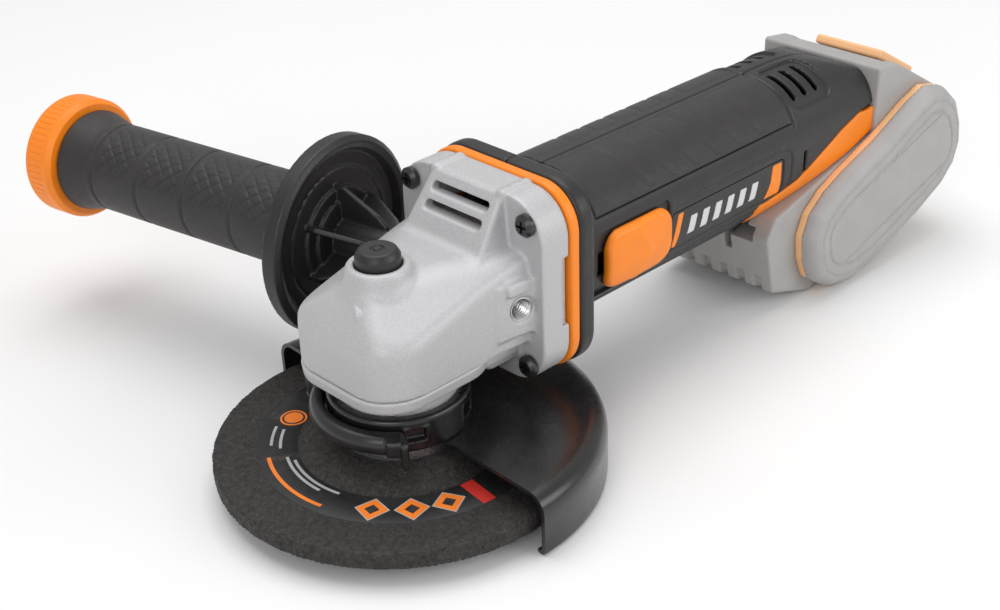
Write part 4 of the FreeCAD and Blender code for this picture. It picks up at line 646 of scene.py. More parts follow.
# %% The case as a field
def case_field(x, y, z):
    """Nose and flange joined by fillets, with the hump, ribs, bosses, feet and button cone on them."""
    side = np.abs(y)
    width = head_half - 0.4 + 0.03 * np.maximum(0, x - 14)
    plan = rounded_square(x - (nose_x + 66) / 2, side, (66 - nose_x) / 2, width, 17)
    profile = polygon_field(x, z, [(nose_x + 3, seam_z - 4), (nose_x + 3, 55), (nose_x + 9, 63), (-14, 67.5),
                                   (-9, head_top - 3.2), (12, head_top - 2.2), (40, head_top - 2.2),
                                   (40, seam_z - 4)], 3)
    slope = (side - head_half + 2) * 0.52 + (z - 57 - 0.28 * (x - nose_x)) * 0.85
    body = both(both(plan, profile, 4.0), slope, 3.0)
    body = np.maximum(body, seam_z + 0.15 - z)
    body = np.maximum(body, x - flange_front - 2)
    flange = np.maximum(rounded_square(side, z - axis_z, flange_half, flange_half, 14.5),
                        np.abs(x - (flange_front + flange_rear) / 2) - (flange_rear - flange_front) / 2)
    hump_side = side + 0.12 * (z - 74)
    hump_rear, hump_top = flange_rear - 0.2, case_high[2] - 1.6
    hump = both(polygon_field(x, z, [(17, 68), (21.5, 74), (33.5, hump_top), (hump_rear, hump_top),
                                     (hump_rear, 60), (17, 60)]), hump_side - 18.2, 1.6)
    rib = box_field(x, side, z, (33.5, 13.6, 88), (flange_rear, 17.0, case_high[2]), 1.2)
    boss = both(box_field(x, side, z, (20.5, 10, 46.5), (41, 40, 66), 1.2), socket_height(x, side), 0.9)
    wedge = both(box_field(x, side, z, (24, 8, 62), (37, 28.5, 80), 1.0),
                 both((side - 27) * 0.6 + (z - 66.5) * 0.8, (24 - x) * 0.8 + (z - 68) * 0.6 - 1, 0.8), 1.2)
    foot = both(box_field(x, side, z, (18, -5, 34), (37, 22, 44), 1.5), (18 - x) * 0.6 + (37 - z) * 0.8, 1.2)
    cone = both(np.hypot(x - button_x, y) - 10.2 - 0.3 * (head_top + 3.2 - z), z - head_top - 3.6, 1.4)
    cone = np.maximum(cone, head_top - 12 - z)
    solid = blend(blend(body, cone, 2.0), hump, 2.0)
    solid = blend(solid, blend(boss, wedge, 1.0), 1.3)
    solid = blend(solid, np.maximum(foot, seam_z - 12 - z), 2.5)
    solid = blend(solid, both(flange, np.abs(x - 40.5) - 6.3, 1.6), 1.6)
    solid = blend(solid, rib, 0.8)
    dash_along = 1.8 * np.maximum(np.abs(y + 5) - 2.0, 0)
    dash = np.hypot(np.hypot(x + 18.5 - 0.45 * (y + 5), dash_along), (z - 66.3) * 0.6) - 0.9
    return blend(solid, dash, 0.8)


def case_hollow(x, y, z):
    """Gear chamber, shaft tunnel, fan room, hump duct, button well, lock-pin hole and the screw seats."""
    side = np.abs(y)
    chamber = rod_field(x, y, z, (0, 0, 0), (0, 0, 1), 21.5, 0, 56.8)
    tunnel = rod_field(x, y, z, (0, 0, axis_z), (1, 0, 0), 11.1, 6, 40)
    fan_room = rod_field(x, y, z, (0, 0, axis_z), (1, 0, 0), 25, 38, 60)
    duct = slab_field(polygon_field(x, z, [(28.5, 76), (35, 88), (60, 88), (60, 76)]), y, -14, 14)
    well = rod_field(x, y, z, (button_x, 0, 0), (0, 0, 1), 7.7, button_low[2] - 3.4, 99)
    pin = rod_field(x, y, z, (-9.5, 0, 0), (0, 0, 1), 1.95, 50, 80)
    hollow = np.minimum(np.minimum(np.minimum(chamber, tunnel), np.minimum(fan_room, duct)), np.minimum(well, pin))
    for low_z in slots_z:
        hollow = np.minimum(hollow, box_field(x, y, z, (10, -13, low_z), (37, 13, low_z + 2.8), 1.3))
    socket = rod_field(x, side, z, (socket_x, socket_y, socket_z), socket_way, 4.0, -13, 9)
    mouth = np.hypot(x - socket_x, z - socket_z) - 4.9 + np.abs(socket_height(x, side))
    hollow = np.minimum(np.minimum(hollow, socket), mouth)
    for rise in (-screw_z, screw_z):
        seat = rod_field(x, side, z, (0, screw_y, axis_z + rise), (1, 0, 0), 6.1, -60, flange_front - 0.4)
        shank = rod_field(x, side, z, (0, screw_y, axis_z + rise), (1, 0, 0), 2.2, -60, 60)
        hollow = np.minimum(hollow, np.minimum(seat, shank))
    notch = box_field(x, side, z, (flange_rear - 3.6, flange_half - 1.7, axis_z - 12.5),
                      (flange_rear + 3, flange_half + 4, axis_z + 12), 0.6)
    return np.minimum(hollow, notch)


case = skin("gear_case_skin", lambda x, y, z: carve(case_field(x, y, z), case_hollow(x, y, z), 0.7),
            (nose_x - 1, -flange_half - 1, axis_z - flange_half - 1),
            (flange_rear + 1, flange_half + 1, case_high[2] + 1), 0.62, "tool", "gear_case")
dress(case, "cast_alloy")


# %% [markdown]
# ### The threaded socket
#
# The side handle's bolt screws into a tapped hole on either side. The free one is seen, so its thread is real
# geometry: a tube whose radius rises and falls along a helix.

# %% The threaded socket
def thread_wall(name, place, way, radius, depth, pitch, body):
    """Inside of a tapped hole: radius falls and rises with height / pitch less the turn round the hole."""
    turns, steps = 48, int(depth / pitch * 8)
    height = np.linspace(-depth, -0.6, steps)[:, None]
    turn = np.linspace(0, 2 * math.pi, turns, endpoint=False)[None, :]
    phase = (height / pitch - turn / (2 * math.pi)) % 1
    inner = radius - 0.62 * (1 - np.abs(2 * phase - 1))
    rim = np.full_like(inner, radius + 0.15)
    both_walls = np.concatenate([inner, rim[::-1]])
    levels = np.concatenate([np.repeat(height, turns, 1), np.repeat(height[::-1], turns, 1)])
    angle = np.repeat(turn, len(levels), 0)
    local = np.stack([both_walls * np.cos(angle), both_walls * np.sin(angle), levels], -1).reshape(-1, 3)
    spin = np.array(Vector((0, 0, 1)).rotation_difference(Vector(way)).to_matrix())
    faces = grid_faces(len(levels), turns, True, True)
    return mesh_object(name, local @ spin.T + np.array(place), faces, body, angle=25)


socket_thread = thread_wall("socket_thread", (socket_x, -socket_y, socket_z), (socket_way[0], -socket_way[1], 0),
                            4.0, 12.6, 1.25, "tool")
dress(socket_thread, "bright_steel")


# %% [markdown]
# ## Cover and button
#
# The cover closes the case from below and carries the neck for the guard. It has lugs round its lower edge
# where its screws pull up. The lock button is a turned cap with a small ring on top, so it is a revolved
# outline with rounded corners.

# %% Cover, button
def cover_field(x, y, z):
    """A plate under the case, a neck for the guard, lugs for the screws, and the bores through them."""
    plate = rounded_square(x - (nose_x + head_half) / 2, y, (head_half - nose_x) / 2 - 0.25, head_half - 0.25, 16)
    plate = both(plate + 0.12 * (seam_z - z), np.abs(z - seam_z + 2.3) - 2.2, 0.8)
    neck = rod_field(x, y, z, (0, 0, 0), (0, 0, 1), 20, cover_low[2], seam_z - 2)
    lug = np.minimum(np.hypot(np.abs(x) - 17.6, np.abs(y) - 17.6) - 4.6,
                     np.hypot(np.abs(x) - 22.2, np.abs(y) - 7) - 2.0)
    lug = both(lug, np.maximum(cover_low[2] + 15.9 - z, z - seam_z + 1), 0.8)
    solid = blend(blend(plate, neck, 1.5), np.maximum(lug, np.hypot(x, y) - 26.6), 0.8)
    hollow = np.minimum(rod_field(x, y, z, (0, 0, 0), (0, 0, 1), 14.0, cover_low[2] + 7.8, 90),
                        rod_field(x, y, z, (0, 0, 0), (0, 0, 1), 10.0, 0, 90))
    heads = np.maximum(np.hypot(np.abs(x) - 17.6, np.abs(y) - 17.6) - 3.5, z - cover_low[2] - 17.1)
    return carve(solid, np.minimum(hollow, heads), 0.5)


skin_of("gear_case_cover", cover_field, 0.6, "tool", "cast_alloy")

rise = button_high[2] - button_low[2]
button_outline = rounded([(0, 0, 0), (7.3, 0, 0.3), (7.3, rise - 2.2, 1.2), (6.0, rise - 0.1, 1.4), (2.3, rise, 0.15),
                          (2.1, rise - 0.5, 0.12), (1.35, rise - 0.5, 0.12), (1.15, rise, 0.15), (0, rise, 0)])
button = turned("lock_button_cap", button_outline, "lock", "lock_button", 96, (button_x, 0, button_low[2]), angle=50)
dress(button, "dark_plastic")


# %% [markdown]
# ## The orange ring
#
# A moulded ring fills the joint between the metal head and the plastic handle. It stands a little proud and
# its outer edges are rounded, so the highlight runs unbroken round the corners.

# %% Front ring
ring_low, ring_high = span("front_ring")


def ring_field(x, y, z):
    """A rounded square as thick as the ring, less the round opening."""
    outside = rounded_square(y, z - axis_z, ring_high[1], ring_high[1], 14.8)
    return carve(both(outside, np.abs(x - (ring_low[0] + ring_high[0]) / 2) - (ring_high[0] - ring_low[0]) / 2, 1.2),
                 np.hypot(y, z - axis_z) - 25, 0.5)


skin_of("front_ring", ring_field, 0.6, "tool", "orange_plastic")


# %% [markdown]
# ## The handle
#
# Two moulded shells close round the motor with a joint along the middle. Their outside is one form: a rounded
# square that runs straight from the collar to the shoulder and then narrows to the tail. Every panel of the
# handle follows this form at its own depth, so the form is one function, and a rubber skin, a recess or an
# orange trim is the space between two depths of it.

# %% The handle's form
collar_front = ring_high[0]
grip_half = 27.0
grip_low, grip_high = span("right_shell")[0][2], 86.0
shoulder_x, tail_x = 190.0, span("right_shell")[1][0]
tail_half, tail_high = 26.0, 81.5
SLOPE = math.radians(15)
slope_x, slope_z = 165.0, 37.5
grip_floor = 32.0


def handle_depth(x, y, z):
    """How far a point lies outside the handle's skin; negative inside.

    The section is a rounded square; beyond the shoulder its sides, top and corners move evenly to the tail's.
    """
    share = np.clip((x - shoulder_x) / (tail_x - shoulder_x), 0, 1)
    share = share * share * (1.6 - 0.6 * share)
    half = grip_half + (tail_half - grip_half) * share
    top = grip_high + (tail_high - grip_high) * share
    corner = 23.0 - 5.0 * share
    across, up = np.abs(y) - half + corner, np.abs(z - (top + grip_floor) / 2) - (top - grip_floor) / 2 + corner
    return np.hypot(np.maximum(across, 0), np.maximum(up, 0)) + np.minimum(np.maximum(across, up), 0) - corner


def slope_depth(x, z):
    """Height below the battery's slope."""
    return (slope_z + (x - slope_x) * math.tan(SLOPE) - z) * math.cos(SLOPE)


def only_behind(start, x, field):
    """A field with no say ahead of start: there it reads as far inside."""
    return np.where(x < start, -99, field)


def line_groove(distance, depth_now, width=0.9, depth=0.6):
    """A groove along a line drawn on a skin: a trough where the distance to the line is small."""
    return both(np.abs(distance) - width / 2, -depth_now - depth, 0.3)


print("handle from", round(collar_front, 1), "to", round(tail_x, 1), "mm")

# %% Shell, vents and grooves
SOFT_FRONT, SOFT_REAR, SOFT_LOW = 68.0, 176.0, 72.7
PLATE = (104.0, 169.0, 46.9, 62.0)
plate_middle = ((PLATE[0] + PLATE[1]) / 2, (PLATE[2] + PLATE[3]) / 2)
plate_half = ((PLATE[1] - PLATE[0]) / 2, (PLATE[3] - PLATE[2]) / 2)
SWITCH = (70.0, 103.0, 45.0, 67.0)
VENTS = (183.8, 190.8, 197.8)


def plan_arc(y, z):
    """Distance round the top of the handle from its middle line."""
    return 23.0 * np.arctan2(np.abs(y), np.maximum(z - 63, 0.5)) * 1.05


def shell_field(x, y, z):
    """The handle's form and its collar, less the seats of everything that is let into it and the room inside."""
    skin_depth = handle_depth(x, y, z)
    ends = np.maximum(collar_front - x, x - tail_x)
    body = both(skin_depth, np.maximum(ends, only_behind(slope_x - 5, x, slope_depth(x, z))), 1.6)
    patch = (z - 86.2) * 0.94 + (x - 206) * 0.34
    body = both(body, patch, 1.2)
    collar = both(rounded_square(y, z - axis_z, 34.0, 34.0, 15),
                  np.maximum(collar_front - x, x - collar_front - 7), 2.2)
    body = blend(body, collar, 1.6)
    side = np.abs(y)
    arc = plan_arc(y, z)
    soft = np.maximum(np.maximum(-skin_depth - 1.5, SOFT_LOW - z), np.maximum(SOFT_FRONT - x, x - SOFT_REAR))
    body = carve(body, soft, 0.4)
    rear_groove = line_groove(x - SOFT_REAR - 0.2, skin_depth)
    rear_groove = np.maximum(rear_groove, SOFT_LOW - 2 - z)
    panel = both(rounded_square(x - 192, arc - 14.5, 12.5, 11.0, 4.5), -skin_depth - 1.1, 0.6)
    vents = [box_field(x, arc, skin_depth, (v - 1.4, 7.0, -20), (v + 1.4, 22.0, 20), 1.3) for v in VENTS]
    plate = rounded_square(x - plate_middle[0] - 1.5, z - plate_middle[1], plate_half[0] + 3.5,
                           plate_half[1] + 3.2, 6)
    frame_groove = np.maximum(line_groove(plate, skin_depth, 0.9, 0.5), np.maximum(100 - x, 15 - side))
    seat = both(rounded_square(x - plate_middle[0], z - plate_middle[1], *plate_half, 2.0), -skin_depth - 1.0, 0.3)
    low_lines = [np.maximum(line_groove(z - level - 2.0 * np.clip((x - 118) / 3, -0.5, 0.5), skin_depth, 0.8, 0.5),
                            np.maximum(np.maximum(62 - x, x - 158), 10 - side)) for level in (38.2, 42.0)]
    capsule = box_field(x, side, z, (181.4, 10, 51), (183.3, 60, 60.5), 0.9)
    taken = [rear_groove, panel, frame_groove, np.maximum(seat, 15 - side), *vents, *low_lines, capsule]
    well = box_field(x, y, z, (60.5, -60, 43.6), (SWITCH[1] + 0.6, -10, 68.2), 2.2)
    switch_bed = both(well, -skin_depth - 1.3, 0.5)
    slot_bar = box_field(x, y, z, (68, -60, 51.6), (97.4, -18, 60.4), 1.0)
    taken += [switch_bed, slot_bar]
    for thing in taken:
        body = carve(body, thing, 0.4)
    trim = np.maximum(trim_outline(x, z, -0.1), -skin_depth - 1.45)
    body = carve(body, np.maximum(trim, 14 - side), 0.4)
    inner = np.maximum(skin_depth + 2.7, np.maximum(collar_front - 1 - x, x - tail_x + 2.6))
    inner = np.maximum(inner, only_behind(slope_x - 8, x, slope_depth(x, z) + 2.6))
    mouth = rod_field(x, y, z, (0, 0, axis_z), (1, 0, 0), 24.6, collar_front - 1, collar_front + 8)
    return carve(body, np.minimum(both(inner, patch + 2.65, 1.0), mouth), 0.5)


def trim_outline(x, z, grow=0.0):
    """The orange trim's side view: a blade that rises from under the plate to the rear edge."""
    upper = [(158, 45), (166, 45.6), (179, 48.4), (191, 54.2), (206, 60.5), (218, 64.0), (tail_x + 8, 66)]
    outline = [(158, 17.5)] + upper + [(tail_x + 8, 17.5)]
    return polygon_field(x, z, outline, 1.0 + grow)


def half_of(field, sign, gap=0.12):
    """One shell of a pair: the field on one side of the middle plane, with its joint edge rounded."""
    return lambda x, y, z: both(field(x, y, z), gap - sign * y, 0.8)


SIDES = (("right", -1), ("left", 1))
for label, sign in SIDES:
    skin_of(label + "_shell", half_of(shell_field, sign), 0.68, "tool", "dark_plastic")

# %% [markdown]
# ## Rubber grip
#
# The rubber is moulded over the shells along the top. Its surface has shallow scalloped arcs that give the
# fingers a hold. Each arc is a curve across the top: the trough's depth falls off with the distance from the
# curve, so it is a line in the mould and not a painted one.

# %% Soft grips
def soft_field(x, y, z):
    """A sheet under the handle's surface, with a trough along each bowed arc and one beside the joint."""
    skin_depth = handle_depth(x, y, z)
    arc = plan_arc(y, z)
    sheet = both(skin_depth, -skin_depth - 1.42, 0.5)
    zone = np.maximum(np.maximum(SOFT_LOW + 0.15 - z, SOFT_FRONT + 0.15 - x), x - SOFT_REAR + 0.35)
    sheet = both(sheet, zone, 0.9)
    for start in (86, 98, 110, 122, 134, 146):
        bow = x - start - 13 * (np.clip(arc, 0, 30) / 30) ** 1.7
        pane = np.where((arc > 4) & (arc < 27), 0.0, 9.0)
        trough = np.hypot(np.where(bow > 0, bow * 0.25, bow), skin_depth * 1.1) - 0.5
        sheet = carve(sheet, np.maximum(trough, pane), 0.4)
    return carve(sheet, np.hypot(arc - 3.6, skin_depth) - 0.28, 0.4)


for label, sign in SIDES:
    skin_of(label + "_soft_grip", half_of(soft_field, sign), 0.5, "tool", "soft_rubber")

# %% [markdown]
# ## Side plates, trims and the switch
#
# The side plate is a flat inlay. The real one carries lettering; here it has a plain row of slanted bars
# between two orange ends. The trims and the switch pad follow the handle's form, a little proud of it.

# %% Inlays on the sides
def inlay(outline, low_depth, high_depth, x, y, z, sign):
    """A flat outline on the handle's side, between two depths of its skin."""
    skin_depth = handle_depth(x, y, z)
    layer = both(skin_depth - high_depth, low_depth - skin_depth, 0.35)
    return both(both(layer, outline, 0.35), 14 - sign * y, 0.3)


def lean(x, z):
    """x measured along lines that lean forward, as the bars on the plate do."""
    return x - 0.28 * (z - plate_middle[1])


def plate_field(x, y, z, sign):
    """The plate itself: a rounded rectangle let in below the skin."""
    frame_line = rounded_square(x - plate_middle[0], z - plate_middle[1], 32.1, 7.25, 1.8)
    return inlay(frame_line, -0.95, -0.12, x, y, z, sign)


def ends_field(x, y, z, sign):
    """A narrow leaning bar at the plate's front and a broad block at its rear."""
    front = np.abs(lean(x, z) - 107.8) - 1.5
    rear = np.maximum(161.0 - lean(x, z) - 0.12 * np.abs(z - plate_middle[1]), lean(x, z) - 172)
    inside = rounded_square(x - plate_middle[0], z - plate_middle[1], 31.0, 6.4, 1.0)
    block = both(np.minimum(front, rear), inside, 0.3)
    return inlay(block, -0.5, 0.05, x, y, z, sign)


def bars_field(x, y, z, sign):
    """Leaning bars: the remainder of the place along the plate by 7 mm gives one bar in each step."""
    place = lean(x, z)
    bar = np.abs((place - 112.5) % 7.0 - 3.5) - 1.9
    zone = np.maximum(np.maximum(112.2 - place, place - 154.6), np.abs(z - plate_middle[1]) - 3.4)
    return inlay(both(bar, zone, 0.4), -0.5, 0.04, x, y, z, sign)


FINISH["plate_print"] = moulded("plate_print", (0.62, 0.62, 0.63), 0.4, drift=0.02)
for label, sign in SIDES:
    plate_low, plate_high = span(label + "_side_plate")
    skin_of(label + "_side_plate", on_side(plate_field, sign), 0.5, "tool", "dark_plastic",
            name=label + "_plate_skin")
    for name, field, slot, finish in (("ends", ends_field, "orange_plastic", None),
                                      ("bars", bars_field, "dark_plastic", "plate_print")):
        mark = skin(f"{label}_plate_{name}", on_side(field, sign), plate_low - 1, plate_high + 1, 0.4, "tool")
        dress(mark, slot, finish)

# %% [markdown]
# ### Trims
#
# Each trim is a thin orange blade that rises along the joint between handle and battery. It is the layer
# between two depths of the handle's skin, cut to the blade's outline.

# %% Trims
def trim_field(x, y, z, sign):
    """What the skin's layer, the blade's outline and the battery's slope share."""
    skin_depth = handle_depth(x, y, z)
    layer = both(skin_depth - 0.28, -skin_depth - 1.4, 0.5)
    band = both(trim_outline(x, z, -0.35), np.maximum(slope_depth(x, z), x - tail_x), 0.8)
    return both(both(layer, band, 0.8), 14.2 - sign * y, 0.4)


for label, sign in SIDES:
    skin_of(label + "_trim", on_side(trim_field, sign), 0.5, "tool", "orange_plastic")


# %% [markdown]
# ### Slide switch
#
# The thumb pushes this pad forward. It domes outwards, so a thumb finds it without looking, and a neck goes
# through the shell to the switch rod.

# %% Slide switch
def switch_field(x, y, z):
    """A pad that bulges to the outside, with a faint ridge across its front and a neck into the handle."""
    skin_depth = handle_depth(x, y, z)
    middle_x, middle_z = (SWITCH[0] + SWITCH[1]) / 2, (SWITCH[2] + SWITCH[3]) / 2
    half_x, half_z = (SWITCH[1] - SWITCH[0]) / 2, (SWITCH[3] - SWITCH[2]) / 2
    outline = rounded_square(x - middle_x, z - middle_z, half_x, half_z, 6.5)
    dome = 3.1 - 0.0032 * ((x - middle_x) ** 2) - 0.007 * (z - middle_z) ** 2
    ridge = 0.35 * np.exp(-((x - middle_x - 3 + 0.5 * np.abs(z - middle_z)) / 1.3) ** 2)
    pad = both(both(outline, skin_depth - dome - ridge, 2.2), -skin_depth - 0.75, 0.5)
    pad = np.maximum(pad, y + 12)
    neck = box_field(x, y, z, (76.1, -26, 52.1), (96.9, -23.1, 59.9), 0.6)
    return blend(pad, neck, 0.4)


skin_of("switch_button", switch_field, 0.5, "switch", "orange_plastic")


# %% [markdown]
# ## Grinding wheel and its label
#
# The wheel is pressed from grit and resin in a ring mould, so its rim is rough and its faces carry faint rings
# from the press. The profile is turned, with the rim's edge broken up by a few sines of the angle: a hand
# would see chips there and not a clean line. The label is a paper ring on the upper face. Its print is plain
# shapes only, each a thin sheet of ink on the paper.

# %% Wheel
WHEEL = rounded([(11.1, 8.6, 0), (22.8, 8.6, 1), (34.2, 4, 2), (62.5, 4, 0.5), (62.5, 10, 0.9), (33.8, 10, 5),
                 (23.2, 14.6, 3), (11.1, 14.6, 0)], 5)


def chipped(radius, height, angle):
    """Chips the rim: the radius drops by up to half a millimetre, more where several waves meet."""
    waves = np.sin(67 * angle) * np.sin(113 * angle + 1.3) + np.sin(191 * angle + height) * 0.7
    drop = np.where(radius > 60, 0.16 + 0.16 * waves + 0.12 * np.abs(np.sin(29 * angle)), 0.0)
    return radius - np.maximum(drop, 0), height


wheel = turned("grinding_wheel_skin", even_steps(WHEEL, 2.0), "output", "grinding_wheel", 512, shape=chipped)
dress(wheel, "abrasive")

# %% Label
PAPER = (34.5, 47.6)
LABEL_Z = 10.0


def label_paper():
    """Black paper, a little worn where it stands out."""
    colour = (0.012, 0.012, 0.013)
    material, tree, shader = new_finish("label_paper", colour, 0.42)
    base = tinted(tree, shader, colour, 10.0, 0.15)
    edge_wear(tree, shader, base, (0.10, 0.095, 0.09), 0.4)
    bumps(tree, shader, [(noise(tree, 0.8, 3.0), 0.08, 0.3)])
    return material


def ink_sheet(name, outline, finish, low=LABEL_Z + 0.08, high=LABEL_Z + 0.16):
    """A flat shape of ink: a closed prism on an outline of (radius, degrees) corners."""
    radius, turn = outline[:, 0], np.radians(outline[:, 1])
    flat = np.stack([radius * np.cos(turn), radius * np.sin(turn)], 1)
    count = len(flat)
    points = np.concatenate([np.insert(flat, 2, level, axis=1) for level in (low, high)])
    walls = [[i, (i + 1) % count, (i + 1) % count + count, i + count] for i in range(count)]
    lids = [list(range(count))[::-1], list(range(count, 2 * count))]
    return dress(mesh_object(name, points, walls + lids, "output"), "abrasive", finish)


def ring_band(start, end, inner, outer, count=48):
    """Corners of a band between two radii, from one angle to another."""
    turn = np.linspace(start, end, count)
    return np.concatenate([np.stack([np.full(count, inner), turn], 1),
                           np.stack([np.full(count, outer), turn[::-1]], 1)])


def corners_round(radius, degrees, reach, count):
    """Corners at one reach round a spot on the label, given as (radius, degrees) like the spot itself."""
    way = np.linspace(0, 2 * math.pi, count, endpoint=False)
    return np.stack([radius + reach * np.cos(way), degrees + np.degrees(reach * np.sin(way) / radius)], 1)


def ink_layers(name, number, radius, degrees, count, layers):
    """One shape printed in layers, each given by its part's name, its reach, its ink and its height."""
    for part, reach, finish, low in layers:
        ink_sheet(f"{name}_{part}{number}", corners_round(radius, degrees, reach, count), finish, LABEL_Z + low,
                  LABEL_Z + low + 0.08)


FINISH["label_paper"] = label_paper()
FINISH["label_orange"] = moulded("label_orange", (0.90, 0.22, 0.02), 0.45, 0.5, 0.02, 0.05)
FINISH["label_grey"] = moulded("label_grey", (0.42, 0.42, 0.42), 0.5, 0.5, 0.02, 0.1)
FINISH["label_red"] = moulded("label_red", (0.62, 0.03, 0.02), 0.45, 0.5, 0.02, 0.05)
paper_outline = rounded([(PAPER[0], LABEL_Z - 0.5, 0), (PAPER[1], LABEL_Z - 0.5, 0),
                         (PAPER[1], LABEL_Z + 0.1, 0.05), (PAPER[0], LABEL_Z + 0.1, 0.05)], 2)
dress(turned("wheel_label", paper_outline, "output", segments=256), "abrasive", "label_paper")
ink_sheet("label_arc", ring_band(150, 194, 43.6, 44.9), "label_orange")
for number, turn in enumerate((215.5, 233.0, 249.5)):
    ink_layers("label_diamond", f"_{number}", 41.0, turn, 4, (
        ("edge", 5.7, "label_grey", 0.08), ("field", 5.2, "label_orange", 0.12), ("core", 2.4, "label_paper", 0.18)))
ink_layers("label_spot", "", 39.2, 117.6, 32, (
    ("edge", 4.6, "label_orange", 0.08), ("gap", 3.9, "label_paper", 0.12), ("field", 3.2, "label_orange", 0.18)))
LINES = ((126, 141, 42.6), (128, 144, 39.6), (152, 186, 37.9), (156, 196, 35.9))
for number, (start, end, inner) in enumerate(LINES):
    ink_sheet(f"label_line_{number}", ring_band(start, end, inner, inner + 1.0, 16), "label_grey")
ink_sheet("label_bar", np.array([(35, 260), (35, 268), (47.5, 266.6), (47.5, 260.9)]), "label_red")
print("label from", PAPER[0], "to", PAPER[1], "mm")

# %% [markdown]
# ## Wheel guard, clamp and lever
#
# The guard is pressed from sheet steel: a half disc, a rolled shoulder and a skirt with its lip turned in. It is
# painted black. One turned profile with its true bends gives all of this.

# %% Guard
GUARD = rounded([(22.3, 17.75, 0.3), (66.5, 17.75, 5.0), (66.5, -0.55, 0.5), (64.65, -0.55, 0.4), (64.65, -1.95, 0.5),
                 (68, -1.95, 1.2), (68, 19.15, 6.5), (22.3, 19.15, 0.3)], 6)
guard = turned("wheel_guard_skin", even_steps(GUARD, 3.0), "guard", "wheel_guard", 240, sweep=(-92, 88), angle=50)
dress(guard, "guard_paint")

# %% [markdown]
# ### Clamp
#
# The clamp is a casting that grips the neck: a band with thick rounded edges, two ears for the lever's pin and
# raised frames round its windows. Forms that meet in fillets are easier as a field.

# %% Clamp band
HINGE_TURN, HINGE_REACH = 112, 30.0
HINGE = (HINGE_REACH * math.cos(math.radians(HINGE_TURN)), HINGE_REACH * math.sin(math.radians(HINGE_TURN)))


def window_place(x, y, turn):
    """Distance out from the axis and across it, seen along one direction."""
    way = (math.cos(math.radians(turn)), math.sin(math.radians(turn)))
    return x * way[0] + y * way[1], y * way[0] - x * way[1]


def clamp_field(x, y, z):
    """A band between two radii, blended with the ears, with a frame and a window in three directions."""
    radius = np.hypot(x, y)
    band = both(both(radius - 23.6, z - 31, 1.6), 19.2 - z, 0.6)
    hinge = np.hypot(x - HINGE[0], y - HINGE[1])
    out, across = window_place(x, y, HINGE_TURN)
    ear = np.minimum(hinge - 4.45, np.maximum(np.abs(across) - 4.45, np.maximum(20 - out, out - 30)))
    for low, high in ((29.05, 31), (19.2, 21.15)):
        band = blend(band, both(ear, np.maximum(low - z, z - high), 0.7), 0.8)
    bore = np.minimum(radius - 20.15, np.maximum(radius - 21.8, z - 20.0))
    band = carve(band, np.minimum(bore, hinge - 2.05), 0.3)
    for turn, window_from in ((-62, 10), (-118, 21.2), (178, 21.2)):
        out, across = window_place(x, y, turn)
        frame = box_field(out, across, z, (15, -4.6, 21.4), (23.58, 4.6, 28.6), 0.8)
        band = carve(band, box_field(out, across, z, (window_from, -3.2, 22.8), (40, 3.2, 27.2), 0.6), 0.6)
        band = np.minimum(band, np.maximum(frame, -box_field(out, across, z, (0, -3.2, 22.8), (60, 3.2, 27.2), 0.6)))
    return carve(band, bore, 0.3)


skin_of("guard_clamp", clamp_field, 0.45, "guard", "guard_paint")


# %% [markdown]
# ### Lever and pin
#
# The lever curls round the clamp and locks it. It is a cast arm between two radii with an eye at one end, a
# step and a finger tab at the other. Its pin is turned, with a domed head.

# %% Lever
def past_arc(turn, start, end):
    """Distance past the nearer end of an arc of angles, measured at 25 mm from the axis."""
    return np.maximum(25 * np.radians(start - turn), 25 * np.radians(turn - end))


def lever_field(x, y, z):
    """An arm between two radii over an angle, with its outside edges well rounded, an eye and a finger tab."""
    radius, turn = np.hypot(x, y), np.degrees(np.arctan2(y, x)) % 360
    crown = both(radius - 29.5, z - 28.5, 4.2)
    arm = both(both(both(crown, 21.7 - z, 2.4), 24.7 - radius, 0.6), past_arc(turn, 115, 231), 1.2)
    hinge = np.hypot(x - HINGE[0], y - HINGE[1])
    arm = blend(arm, both(hinge - 4.45, np.maximum(21.7 - z, z - 28.5), 0.8), 1.2)
    tab = both(both(radius - 32.0, 24.7 - radius, 0.6), np.maximum(17.7 - z, z - 27.5), 1.4)
    tab = both(tab, past_arc(turn, 229.6, 234.4), 1.4)
    step = both(both(radius - 30.6, 24.7 - radius, 0.6),
                np.maximum(np.maximum(21.9 - z, z - 27.4), past_arc(turn, 221, 229)), 1.0)
    arm = blend(blend(arm, tab, 1.2), step, 1.0)
    arm = both(arm, 24.65 - radius, 0.4)
    return carve(arm, hinge - 2.1, 0.4)


skin_of("guard_lever", lever_field, 0.5, "lever", "guard_paint", "blackened_steel")
pin_outline = rounded([(0, 19.2, 0), (2, 19.2, 0.3), (2, 31, 0), (3.4, 31, 0.2), (3.4, 32.9, 1.1), (1.6, 32.9, 0.5),
                       (1.3, 32.3, 0.3), (0, 32.3, 0)], 4)
pin = turned("lever_pin_skin", pin_outline, "guard", "lever_pin", 48, at=(*HINGE, 0))
dress(pin, SLOT_OF["lever_pin"], "guard_paint")

# %% [markdown]
# ## Side handle
#
# The side handle screws into the head. Its shield is a thin moulding, dished towards the hand's side, with two
# stepped rings at the hub and six webs. Its section is drawn once in the handle's own frame, and the webs are
# one web repeated every 60 degrees.

# %% Along the side handle
SIDE_AT = np.array([socket_x, socket_y, socket_z])
SIDE_WAY = np.array(socket_way)


